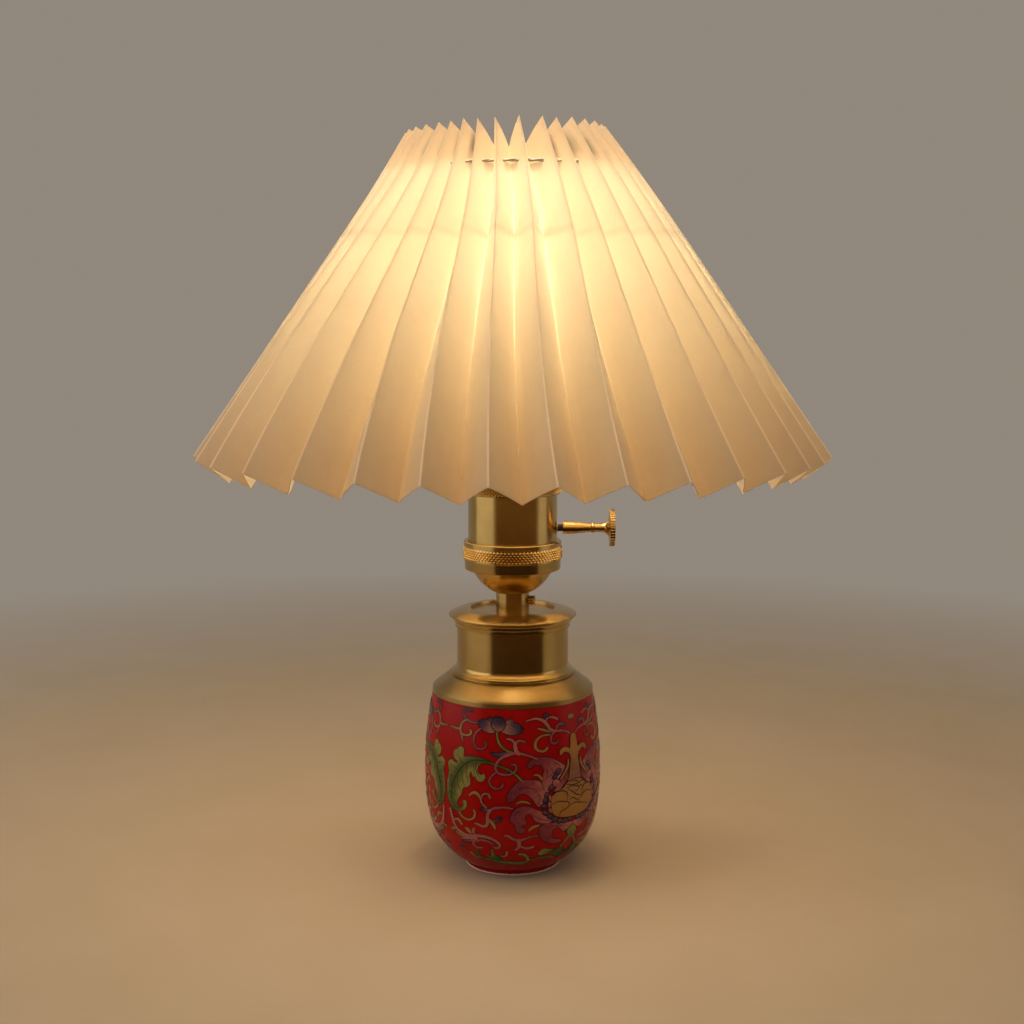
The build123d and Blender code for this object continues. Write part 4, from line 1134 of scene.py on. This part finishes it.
# Bud with its stem, and the tendrils at its sides
tendril("leaf_green", [
    (-10.3, 75.6), (-9.7, 72.5), (-8.3, 70), (-5.5, 67.8), (-2, 66.6), (1.5, 65.9),
], (1.1, 1.2, 1.1), (0.9, 0.6))
petal("violet", [
    (-17.2, 81.2), (-15.6, 82.0), (-13.8, 81.7), (-12.8, 80.4), (-14.6, 79.8), (-16.2, 80.5),
], (-15, 82.2), (-14, 79.6))
petal("violet", [
    (-4.2, 80.4), (-2.2, 81.5), (0.0, 81.0), (0.6, 79.6), (-2.0, 79.0), (-4.2, 79.0),
], (-1, 82), (-2, 79), tints=(0.3, 1.0))
petal("violet", [
    (-23.2, 79.3), (-21.6, 80.4), (-19, 80.8), (-16.5, 80.6), (-14.8, 79.8), (-14.2, 78), (-13.3, 76.6),
    (-11.4, 75.8), (-12.5, 75.0), (-15, 74.9), (-18.5, 75.6), (-21.2, 76.9), (-22.8, 78.3),
], (-23, 79.6), (-14, 76.2), level=1)
petal("violet", [
    (-7.0, 75.7), (-5.4, 76.6), (-4.6, 78.2), (-2.5, 79.4), (0, 79.7), (3, 79.2), (5.5, 78.2),
    (6.9, 76.9), (5.8, 75.5), (3, 74.6), (0, 74.2), (-3.5, 74.6),
], (6.8, 77.6), (-4, 76), level=1)
petal("violet", [
    (-13.7, 79.0), (-13.2, 80.8), (-11.5, 82.1), (-8.5, 82.4), (-6.2, 81.7), (-5.0, 79.9), (-5.2, 77.8),
    (-6.8, 76.4), (-9.3, 75.7), (-11.8, 76.3), (-13.2, 77.5),
], (-8.6, 82), (-9.6, 75.6), level=2)
tendril("violet", [
    (-23.0, 79.1), (-27, 78.8), (-30.5, 79.6), (-33.5, 80.8), (-34.9, 82.6), (-34.0, 84.0),
    (-31.8, 84.4), (-29.4, 84.2), (-27.6, 83.9),
], (0.8, 1.0, 1.1, 0.8), (0.9, 0.25))
tendril("ochre", [
    (-30.6, 79.7), (-34.0, 78.9), (-35.7, 77.0), (-36.2, 75.4), (-38.0, 74.9), (-41, 75.0),
    (-44.6, 75.3),
], (0.9, 1.2, 1.3, 0.6), (0.55, 0.8))
tendril("ochre", [
    (-36.2, 75.2), (-35.7, 73.8), (-34.3, 72.9), (-32, 72.5), (-29.2, 72.9), (-27.7, 74.0),
    (-28.2, 75.0),
], (1.0, 1.1, 1.2), (0.7, 0.4))
tendril("mauve", [(-36.0, 74.2), (-35.0, 72.4), (-34.1, 70.8), (-33.6, 69.4)], (1.1, 1.3, 0.6), (0.9, 0.6))
tendril("mauve", [
    (-21.3, 76.4), (-24, 74.6), (-25.5, 72), (-25.3, 69.3), (-23.5, 67.5), (-20.8, 67.0), (-18, 67.8),
    (-16.8, 69.4), (-17.7, 70.5),
], (0.9, 1.1, 1.2, 1.2), (0.8, 0.3))

# Scrolls between the bud, the leaf and the flower
tendril("violet", [
    (-13.6, 65.8), (-11.5, 65.0), (-8, 65.1), (-4, 65.7), (0, 66.1), (3.5, 65.9),
], (1.0, 1.9, 1.5, 1.2), (0.1, 1.0))
tendril("mauve", [
    (15.0, 62.9), (11, 64.2), (7, 65.2), (3, 65.8), (-2, 65.2), (-6.5, 63.8), (-9.5, 61.6), (-10.6, 59),
    (-9.6, 57), (-7, 56.0), (-3.5, 55.8), (-0.5, 56.3), (1.8, 57.8), (2.3, 59.3), (1.2, 60.6),
    (-0.6, 60.6),
], (1.1, 1.5, 1.2, 1.1, 1.0), (0.75, 0.55), 1)
tendril("mauve", [
    (3.6, 65.7), (2.0, 67.2), (1.5, 69.0), (1.1, 70.6), (-0.6, 72.0), (-3.4, 72.4),
], (2.2, 2.0, 1.3, 0.9), (0.8, 1.0), 1)
tendril("mauve", [
    (2.4, 68.0), (2.0, 70.4), (3.8, 71.6), (6.0, 71.4), (7.6, 70.9),
], (1.4, 1.2, 1.3), (0.8, 0.6), 1)
tendril("mauve", [
    (-10.2, 56.8), (-13, 55), (-14.5, 52.6), (-13.8, 50.6), (-11.5, 49.3), (-8.6, 49.2), (-6.5, 50.2),
    (-6.2, 51.4),
], (0.8, 1.1, 1.1, 1.3), (0.7, 0.45))
tendril("ochre", [
    (-27.8, 44.5), (-25.6, 45.9), (-23.4, 46.2), (-21.4, 45.2), (-19.9, 43), (-18.6, 41), (-16.4, 39.5),
], (0.9, 1.8, 1.4, 1.1), (0.35, 1.0))
tendril("mauve", [
    (-14.0, 44.5), (-14.7, 45.9), (-16.7, 46.4), (-18.8, 45.5), (-20.0, 43.4), (-19.2, 41.6),
], (1.3, 1.0, 1.1), (0.8, 0.9), 1)
tendril("violet", [(-20.4, 38.5), (-18.2, 38.6), (-16.2, 38.3), (-14.2, 38.8)], (1.1, 1.9, 0.9), (0.0, 0.8))
tendril("mauve", [
    (-0.2, 39.6), (-4, 40.1), (-9, 40.0), (-13, 39.0), (-15.2, 37), (-16, 34.6), (-15.9, 32.2),
    (-17, 30.5), (-19.6, 30.1), (-22, 30.8), (-24.2, 31.1),
], (0.9, 1.2, 1.7, 1.8, 1.5, 1.0), (0.6, 1.0), 1)
tendril("ochre", [
    (-14.9, 34.0), (-13.3, 32.5), (-11.8, 30.8), (-11.1, 29.2),
], (1.0, 2.1, 0.7), (0.9, 0.2), 1)
tendril("violet", [(-14.2, 33.7), (-12, 33.1), (-9.8, 33.5), (-7.8, 34.5)], (0.8, 1.3, 2.2), (0.9, 0.0), 1)
tendril("ochre", [
    (-35.7, 35.2), (-34, 33.6), (-31, 32.5), (-27.5, 32.6), (-25, 34), (-24.2, 36), (-24.8, 37.5),
], (1.2, 1.1, 1.2), (0.6, 0.45))

# Scrolls of the lower left
tendril("mauve", [
    (-43.2, 35.8), (-42.4, 33), (-41.6, 30.6), (-40.6, 28.4), (-38.6, 26.4), (-35.5, 24.9),
    (-31.5, 24.1), (-27, 24.3), (-22, 24.9), (-17, 24.7), (-12.5, 23.6), (-9.4, 22.0), (-8.5, 20.5),
    (-9.7, 19.4), (-12.6, 19.4),
], (1.3, 1.8, 2.0, 1.9, 1.7, 1.5, 1.3), (1.0, 0.7), 1)
tendril("ochre", [
    (-41.0, 30.4), (-39, 31.4), (-37, 31.4), (-35.5, 30.4), (-34.6, 29.3),
], (1.0, 1.4, 1.5), (0.8, 0.3))
tendril("leaf_green", [(-37.6, 25.9), (-40.2, 26.5), (-43.2, 25.9)], (1.2, 1.8, 1.3), (0.6, 1.0))
tendril("leaf_green", [(-39.8, 24.6), (-36, 23.4), (-31, 23.3), (-27.5, 24.0)], (1.0, 1.8, 1.0), (1.0, 0.7))
tendril("ochre", [(-31.4, 27.8), (-29.6, 26.8), (-28.2, 25.7)], (1.5, 2.1, 1.2), (0.8, 0.2))
tendril("mauve", [(-25.6, 28.2), (-26.2, 26.8), (-25.8, 25.4)], (1.4, 2.0, 1.4), (1.0, 0.6))
tendril("violet", [(-36.0, 20.2), (-33.4, 21.0), (-30.4, 21.2), (-27.8, 22.0)], (0.9, 2.3, 1.0), (0.0, 0.9))
tendril("mauve", [(-35.4, 22.0), (-32, 22.5), (-28, 22.9), (-24, 23.3)], (0.7, 1.3, 1.3), (1.0, 0.8), 1)
tendril("mauve", [
    (-24.4, 22.8), (-27.0, 21.4), (-27.4, 19.6), (-25.6, 18.4), (-23.2, 18.3), (-21, 18.6),
], (1.6, 1.8, 1.3, 0.9), (0.6, 0.9))
tendril("mauve", [
    (-24.0, 21.4), (-22.6, 22.6), (-19.5, 22.8), (-16, 22.2), (-13.6, 21.2),
], (0.9, 1.0, 0.9), (0.6, 0.8))
tendril("violet", [(-40.6, 15.9), (-38, 16.6), (-35.2, 16.2)], (0.9, 1.6, 0.9), (0.2, 0.7))
tendril("mauve", [
    (-5.2, 26.0), (-2.6, 25.7), (0, 24.5), (3.2, 23.6), (7, 24.0), (11, 25.1), (15.8, 25.6),
], (0.8, 1.4, 1.5, 1.1, 0.9), (0.8, 0.6))
tendril("mauve", [(3.8, 23.6), (4.2, 21.2), (3.6, 19.4), (2.0, 18.4)], (2.1, 1.9, 1.2), (0.7, 1.0))
tendril("mauve", [(5.0, 20.4), (8.0, 19.3), (11.0, 19.0), (13.8, 19.6)], (0.9, 1.2, 1.4), (0.8, 1.0))
tendril("ochre", [(10.4, 28.5), (13, 30), (16.8, 30.8)], (0.9, 1.6, 0.9), (0.2, 0.7))

# Green leaves round the foot
tendril("leaf_green", [
    (4.4, 15.8), (8, 15.3), (10.6, 13.6), (11.8, 11.6), (9.4, 10.2), (3, 10.0), (-4, 10.3), (-11, 10.8),
    (-18, 11.6), (-24.6, 12.8), (-26, 15), (-25.6, 17.4),
], (1.0, 1.8, 2.2, 2.4, 2.4, 1.6, 1.0), (1.0, 0.2))
petal("leaf_green", [
    (-17.4, 12.6), (-15.8, 14.8), (-15.0, 16.8), (-14.4, 18.6), (-13.4, 16.4), (-12, 14.8),
    (-9.4, 13.8), (-8.6, 12.2), (-13, 11.4),
], (-13, 12), (-14.4, 18), level=1)
tendril("ochre", [(-8.6, 14.6), (-6.0, 14.6), (-4.2, 15.6), (-4.0, 16.8)], (0.7, 1.0, 1.9), (0.6, 0.2), 1)
tendril("leaf_green", [
    (-31.8, 14.4), (-30.2, 12.8), (-28.2, 12.2), (-25, 12.4),
], (1.8, 1.8, 1.2), (1.0, 0.4))
petal("leaf_green", [
    (18.4, 15.2), (19.6, 16.9), (23, 17.7), (28, 16.9), (31, 16.1), (33.5, 16.5), (35.2, 17.6),
    (37.6, 16.4), (40.4, 14.2), (42.2, 12.4), (40, 10.9), (36, 11.2), (32.6, 12.6), (30.4, 14.2),
    (27, 14.7), (22.5, 14.4), (20.4, 14.0),
], (37, 12), (22, 17))
fine_line([(21, 15.8), (25.5, 16.0), (30, 15.2), (34, 14.8), (38, 13.4)], 0.36)
tendril("leaf_green", [
    (12.2, 11.2), (17, 12.2), (22, 12.4), (28, 12.0), (33, 11.4),
], (1.0, 1.4, 1.2), (0.4, 0.7))
tendril("ochre", [(40.8, 22.0), (38.6, 20.3), (36.6, 18.6), (35.2, 17.2)], (1.6, 1.2, 1.0), (0.8, 0.6), 1)

# Scrolls over the flower
tendril("mauve", [
    (39.8, 72.4), (37.5, 73.6), (34, 74.4), (30, 74.7), (27, 75.1), (24.8, 76.2), (23, 78),
    (21.2, 79.6), (18.4, 80.8), (15, 81.3), (12, 81.0), (8.8, 80.4),
], (0.8, 1.1, 1.6, 2.0, 1.1, 0.6), (0.7, 1.0), 1)
tendril("mauve", [
    (21.8, 79.2), (23.0, 80.7), (25.4, 81.3), (28.2, 81.0), (30.6, 80.2),
], (1.2, 0.9, 1.4), (0.9, 1.0))
tendril("violet", [
    (20.8, 80.2), (21.2, 81.6), (22.2, 82.7), (23.8, 82.0), (24.6, 80.9),
], (0.7, 1.4, 1.5, 0.8), (0.5, 0.1))
tendril("ochre", [(24.8, 74.9), (21.6, 75.5), (18.6, 76.3), (16.4, 76.7)], (1.5, 1.5, 0.6), (1.0, 0.4))
tendril("ochre", [
    (24.2, 73.4), (20, 73.4), (17, 72.6), (15, 71), (14.3, 69), (15.3, 67.2), (17.8, 66.2),
    (20.6, 66.3), (22.2, 67.4),
], (0.9, 1.1, 1.6, 1.2, 1.4), (0.7, 0.3))
tendril("mauve", [
    (29.6, 74.6), (26.4, 73.6), (25, 71.6), (25.4, 69.8), (27.4, 69.0), (29.6, 69.4), (30.6, 70.4),
], (0.9, 1.3, 1.3, 1.1), (0.8, 0.3))
tendril("mauve", [(29.4, 75.4), (30.4, 77.0), (32.4, 77.8)], (0.8, 0.9, 0.8), (0.9, 0.6))
tendril("violet", [(32.0, 77.7), (34.2, 77.5), (36.8, 77.0)], (1.0, 1.9, 0.7), (0.8, 0.3))
oval("ochre", (FLOWER_AXIS, 80.2), 2.0, 1.1, axial=True, tints=(0.5, 0.2))

# Large flower: spread petals, a chain of beads, the ochre heart and the spike
petal("mauve", [
    (17.2, 27.0), (17.6, 29.6), (20, 31.0), (25, 31.2), (30, 31.0), (34, 30.4), (38, 30.0),
    (41.8, 29.6), (41.8, 27.6), (40, 26.8), (37.4, 26.2), (35, 25.8), (33.5, 26.4), (31.8, 27.8),
    (29.5, 28.4), (27, 27.6), (26, 25.8), (26.6, 23.6), (28.4, 22.4), (31, 22.2), (33, 21.6),
    (34.5, 20.6), (31, 20.0), (27, 20.4), (23.4, 21.4), (20.4, 22.8), (18.4, 24.6),
], (19, 24), (38, 30), tints=(0.15, 1.0))
petal("mauve", [
    (-1.4, 34.2), (-1.0, 36.6), (0.4, 38.4), (3, 40.0), (7, 40.7), (11.5, 40.0), (15, 38.6),
    (18.4, 37.2), (20.6, 35.4), (24, 33.6), (27, 32.7), (24, 31.6), (20, 31.4), (16, 32.3),
    (13.4, 33.8), (12.2, 35.6), (10.4, 36.7), (8.2, 36.2), (7.4, 34.4), (8.6, 33.0), (8.4, 31.8),
    (6.4, 31.4), (5.6, 30.2), (7.2, 29.6), (8.0, 28.4), (6.2, 27.4), (3.6, 27.6), (2.0, 29.2),
    (1.4, 31.4), (-0.4, 32.6),
], (1, 34), (24, 33), tints=(0.2, 0.95))
petal("mauve", [
    (-3.6, 44.8), (-3.0, 47.0), (-1.0, 49.0), (1.5, 51.6), (5, 53.0), (9, 53.4), (13, 53.0),
    (16.5, 52.4), (18.2, 50.5), (19.0, 48.2), (20.8, 46.3), (19.8, 43.6), (19.0, 41.0), (17.2, 39.8),
    (14.8, 40.8), (13.2, 42.8), (11.2, 44.7), (8.8, 46.2), (6.0, 46.8), (3.4, 46.0), (1.4, 44.2),
    (-0.6, 42.8), (-2.6, 43.0),
], (-2, 46), (20, 44), tints=(0.1, 0.9))
petal("mauve", [
    (9.2, 59.2), (9.6, 61.0), (12, 62.6), (16, 63.6), (20.5, 63.4), (25, 62.4), (29, 60.8),
    (32.4, 59.0), (34.4, 57.8), (33.0, 55.8), (30.5, 53.2), (27.5, 51.0), (25.0, 48.5), (22.5, 46.2),
    (20.4, 47.0), (18.8, 49.5), (18.4, 52.0), (18.9, 55.0), (19.4, 57.6), (17.5, 59.6), (14.5, 60.0),
    (12.0, 59.2), (11.0, 58.4),
], (12, 61), (28, 52), tints=(0.1, 1.0))
tendril("ochre", [(2.6, 42.2), (5, 42.9), (8, 42.7), (10.6, 41.8)], (0.8, 1.2, 0.8), (0.3, 0.6), 1)
tendril("ochre", [(13.2, 55.4), (15.2, 55.3), (17.0, 54.4), (18.0, 53.2)], (0.7, 1.2, 1.7), (0.4, 0.8), 1)
for vein in (
    [(20.2, 52.4), (22.4, 54.0), (24.8, 55.0), (25.6, 56.6), (23.8, 57.6)],
    [(21.4, 57.6), (22.0, 55.6), (21.2, 53.8)],
    [(26.0, 60.6), (29.0, 59.4), (31.6, 57.8)],
    [(14.6, 44.6), (16.0, 45.8), (16.8, 44.4), (16.2, 42.2)],
    [(15.2, 42.4), (16.6, 40.8), (18.4, 39.6)],
    [(1.0, 47.6), (5.0, 49.4), (10.0, 49.4), (15.0, 48.0)],
    [(12.6, 36.4), (15.6, 34.6), (19.6, 33.2), (24.0, 32.6)],
    [(0.8, 36.0), (2.8, 37.6), (5.6, 38.2)],
    [(21.0, 28.8), (25.6, 29.4), (31.6, 29.2), (37.6, 28.2)],
    [(21.0, 24.0), (24.0, 23.6), (26.2, 24.6)],
):
    fine_line(vein, 0.32)
for bead, wide, high, tilt in (
    ((29.0, 55.6), 1.9, 1.2, 35), ((26.8, 53.4), 1.2, 0.9, 20), ((24.2, 48.4), 1.1, 1.5, -25),
    ((21.4, 45.0), 1.0, 1.5, -12), ((20.4, 42.4), 0.9, 1.3, 0), ((19.8, 39.9), 1.5, 1.0, -10),
    ((21.0, 36.4), 1.7, 0.9, -25), ((24.0, 34.4), 1.4, 0.9, -30), ((27.4, 32.6), 1.5, 1.1, -10),
    ((31.2, 31.4), 1.2, 1.0, 0), ((35.0, 31.0), 1.7, 1.0, 0), ((39.0, 31.2), 1.2, 1.1, 0),
):
    oval("violet", bead, wide, high, tilt, level=2, tints=(0.1, 0.75))
petal("mauve", [
    (25.4, 50.4), (26.4, 52.0), (28.6, 52.0), (30.4, 50.8), (28.8, 49.0), (26.6, 48.8),
], level=2, tints=(0.8, 1.0))
petal("mauve", [
    (26.4, 46.6), (28.5, 48.8), (31, 51.2), (33.4, 53.6), (36.8, 54.8), (36.2, 51.4), (33.2, 49.0),
    (30.0, 47.0),
], (36, 54), (28, 47), level=2, tints=(0.2, 0.95))
for bead, wide, high, tilt in (
    ((23.6, 43.6), 0.7, 1.6, 5), ((23.2, 40.4), 0.7, 1.5, 0), ((24.0, 37.4), 0.7, 1.4, 20),
):
    oval("mauve", bead, wide, high, tilt, level=2, tints=(0.7, 1.0))
petal("ochre", [
    (42.3, 50.4), (38.0, 50.2), (35.0, 49.0), (32.8, 47.4), (30.0, 46.7), (27.0, 46.0), (25.2, 44.6),
    (24.5, 42.0), (24.7, 39.0), (25.6, 36.4), (27.6, 34.6), (31.0, 33.5), (36.0, 32.8), (42.3, 32.5),
], (42, 33), (42, 50), level=2, axial=True, mirrored=True, tints=(0.25, 0.75))
for scale_line in (
    [(31.0, 33.6), (30.8, 35.0), (32.0, 36.3), (34.8, 36.9), (37.0, 37.8), (37.9, 39.2), (37.4, 40.2)],
    [(25.0, 40.4), (28.0, 41.2), (31.0, 41.3), (34.0, 40.7), (36.4, 40.2), (37.7, 39.3)],
    [(36.6, 37.5), (39.4, 38.5), (42.6, 38.9), (46.0, 38.5), (50.0, 37.6), (54.0, 36.8), (56.4, 35.8)],
    [(25.4, 44.9), (27.4, 46.0), (30.0, 46.3), (32.6, 46.1), (34.8, 45.4), (36.1, 44.0), (36.3, 42.2),
     (35.4, 40.8)],
    [(46.0, 38.7), (45.8, 40.2), (48.4, 41.0), (50.0, 42.4), (53.0, 43.0), (57.0, 42.5), (59.8, 41.4)],
    [(49.6, 42.6), (48.6, 44.0), (49.4, 45.6), (51.4, 46.6), (54.4, 46.8), (57.6, 45.8), (59.4, 44.0)],
    [(35.9, 47.0), (38.0, 45.8), (40.2, 44.6), (42.6, 43.3), (45.2, 42.3), (48.0, 42.0), (49.6, 42.6)],
    [(36.0, 47.2), (39.8, 47.6), (43.8, 46.9), (46.0, 45.8), (44.4, 44.8), (41.8, 44.4)],
    [(46.0, 45.8), (47.6, 46.8), (49.4, 45.6)],
    [(35.4, 48.9), (38.0, 48.2), (41.0, 48.0), (44.0, 47.9), (45.4, 46.8)],
    [(38.6, 49.8), (42.0, 49.6), (44.6, 49.0), (45.6, 48.0), (48.0, 49.0), (50.2, 48.4)],
    [(37.2, 41.0), (40.0, 41.7), (42.2, 41.1), (44.0, 40.1), (45.8, 40.3)],
):
    fine_line(scale_line, 0.55, level=3, axial=True)
petal("ochre", [
    (42.3, 72.3), (40.7, 71.8), (39.9, 70.4), (39.6, 68.5), (39.4, 66.8), (38.6, 65.6), (37.2, 66.2),
    (35, 66.6), (32.5, 66.3), (31.0, 65.2), (30.7, 63.8), (31.7, 63.2), (32.8, 63.9), (34.5, 64.5),
    (37, 64.0), (38.6, 62.8), (39.2, 61), (39.0, 59.5), (38.3, 57), (37.8, 54.0), (37.2, 52.0),
    (36.4, 50.6), (39.0, 50.8), (42.3, 50.9),
], (42, 68), (42, 56), level=3, axial=True, mirrored=True, tints=(0.3, 1.0))
tendril("ochre", [
    (37.0, 60.4), (36.8, 58.2), (35.2, 55.8), (32.9, 53.7), (30.8, 51.9),
], (0.8, 1.5, 1.3, 0.7), (0.7, 0.5), 3)
petal("leaf_green", [
    (42.3, 28.0), (39.8, 26.8), (38.2, 25.2), (39.0, 23.6), (40.3, 22.2), (41.4, 21.0), (42.3, 20.7),
], (42, 21), (42, 27), level=2, axial=True, mirrored=True, tints=(0.6, 1.0))


def enamel_material(name, low, middle, high):
    """Painted enamel in three tones along the piece's tint, a little uneven."""
    tree, shader, position = new_material(name)
    strokes = place_group(tree, GRAIN, position, Grain_mm=0.7, Mottle_mm=2.6)
    tint = node(tree, "Attribute", attribute_name="tint").outputs["Fac"]
    uneven = range_node(tree, strokes.outputs["Mottle"], 0, 1, -0.12, 0.12)
    place = math_node(tree, "ADD", tint, uneven, clamp=True)
    tone = ramp_node(tree, place, (0.0, low), (0.5, middle), (1.0, high))
    tree.links.new(tone, shader.inputs["Base Color"])
    tree.links.new(range_node(tree, strokes.outputs["Grain"], 0, 1, 0.22, 0.34), shader.inputs["Roughness"])
    shader.inputs["Specular IOR Level"].default_value = 0.16
    bump(tree, shader, strokes.outputs["Height"], 0.15, 0.08 * MM)


for colour_name, tones in ENAMELS.items():
    enamel_name = "enamel_" + colour_name
    enamel_material(enamel_name, *tones)
    drawn = COLOURS[colour_name]
    piece = make_piece(enamel_name, drawn.points, drawn.faces, enamel_name, "base", sharp=50)
    piece.data.attributes.new("tint", "FLOAT", "POINT").data.foreach_set("value", drawn.tints)


# Stage: a floor, and a card that only reflections see, which keeps the middle of the brass and the glaze deep
FLOOR_HALF = 6
CARD_STRIPS, CARD_FROM, CARD_STEP = 12, -44, 9
CARD_SECTION = ((0.1, 0.001), (1.3, 0.001), (1.3, 0.9))
CARD_HIDDEN_FROM = ("camera", "diffuse", "transmission", "volume_scatter", "shadow")


def pale_floor_material():
    """Pale and matt; far off it passes into the colour of the walls."""
    tree, shader = grained("pale_floor", (0.55, 0.43, 0.295), (0.53, 0.41, 0.275), 0.6, 2.0, 60.0)
    shader.inputs["Specular IOR Level"].default_value = 0.0
    distance = vector_node(tree, "LENGTH", node(tree, "TexCoord").outputs["Object"])
    far = range_node(tree, distance, 0.4, 0.85)
    rays = node(tree, "LightPath")
    seen = math_node(tree, "ADD", rays.outputs["Is Camera Ray"], rays.outputs["Is Glossy Ray"], clamp=True)
    seen = math_node(tree, "ADD", seen, rays.outputs["Is Transmission Ray"], clamp=True)
    wall = node(tree, "Emission")
    wall.inputs["Color"].default_value = (*WALL_COLOUR, 1)
    mix_shaders(tree, times(tree, far, seen), shader, wall)


def dark_card_material():
    """Brown black near the object, a warm brown further off."""
    tree, shader, position = new_material("card_brown")
    distance = range_node(tree, vector_node(tree, "LENGTH", position), 0.4, 1.5)
    tone = ramp_node(tree, distance, (0.1, (0.022, 0.013, 0.007)), (0.8, (0.17, 0.08, 0.03)))
    unlit = node(tree, "Emission")
    tree.links.new(tone, unlit.inputs["Color"])
    tree.links.new(unlit.outputs[0], tree.nodes["Material Output"].inputs["Surface"])
    tree.nodes.remove(shader)


def stage_piece(name, points, faces, material, hidden_from=()):
    mesh = bpy.data.meshes.new(name)
    mesh.from_pydata(points, [], faces)
    mesh.materials.append(MATERIALS[material])
    piece = bpy.data.objects.new(name, mesh)
    scene.collection.objects.link(piece)
    for rays in hidden_from:
        setattr(piece, "visible_" + rays, False)


pale_floor_material()
dark_card_material()
card_points, card_faces = [], []
for k in range(CARD_STRIPS + 1):
    way = radians(CARD_FROM + CARD_STEP * k)
    for reach, height in CARD_SECTION:
        card_points.append((reach * sin(way), -reach * cos(way), height))
    if k:
        card_faces += [(3 * k - 3 + j, 3 * k + j, 3 * k + 1 + j, 3 * k - 2 + j) for j in (0, 1)]
stage_piece("front_card", card_points, card_faces, "card_brown", CARD_HIDDEN_FROM)
floor_points = [(FLOOR_HALF * x, FLOOR_HALF * y, 0) for x, y in ((-1, -1), (1, -1), (1, 1), (-1, 1))]
stage_piece("floor", floor_points, [(0, 1, 2, 3)], "pale_floor")
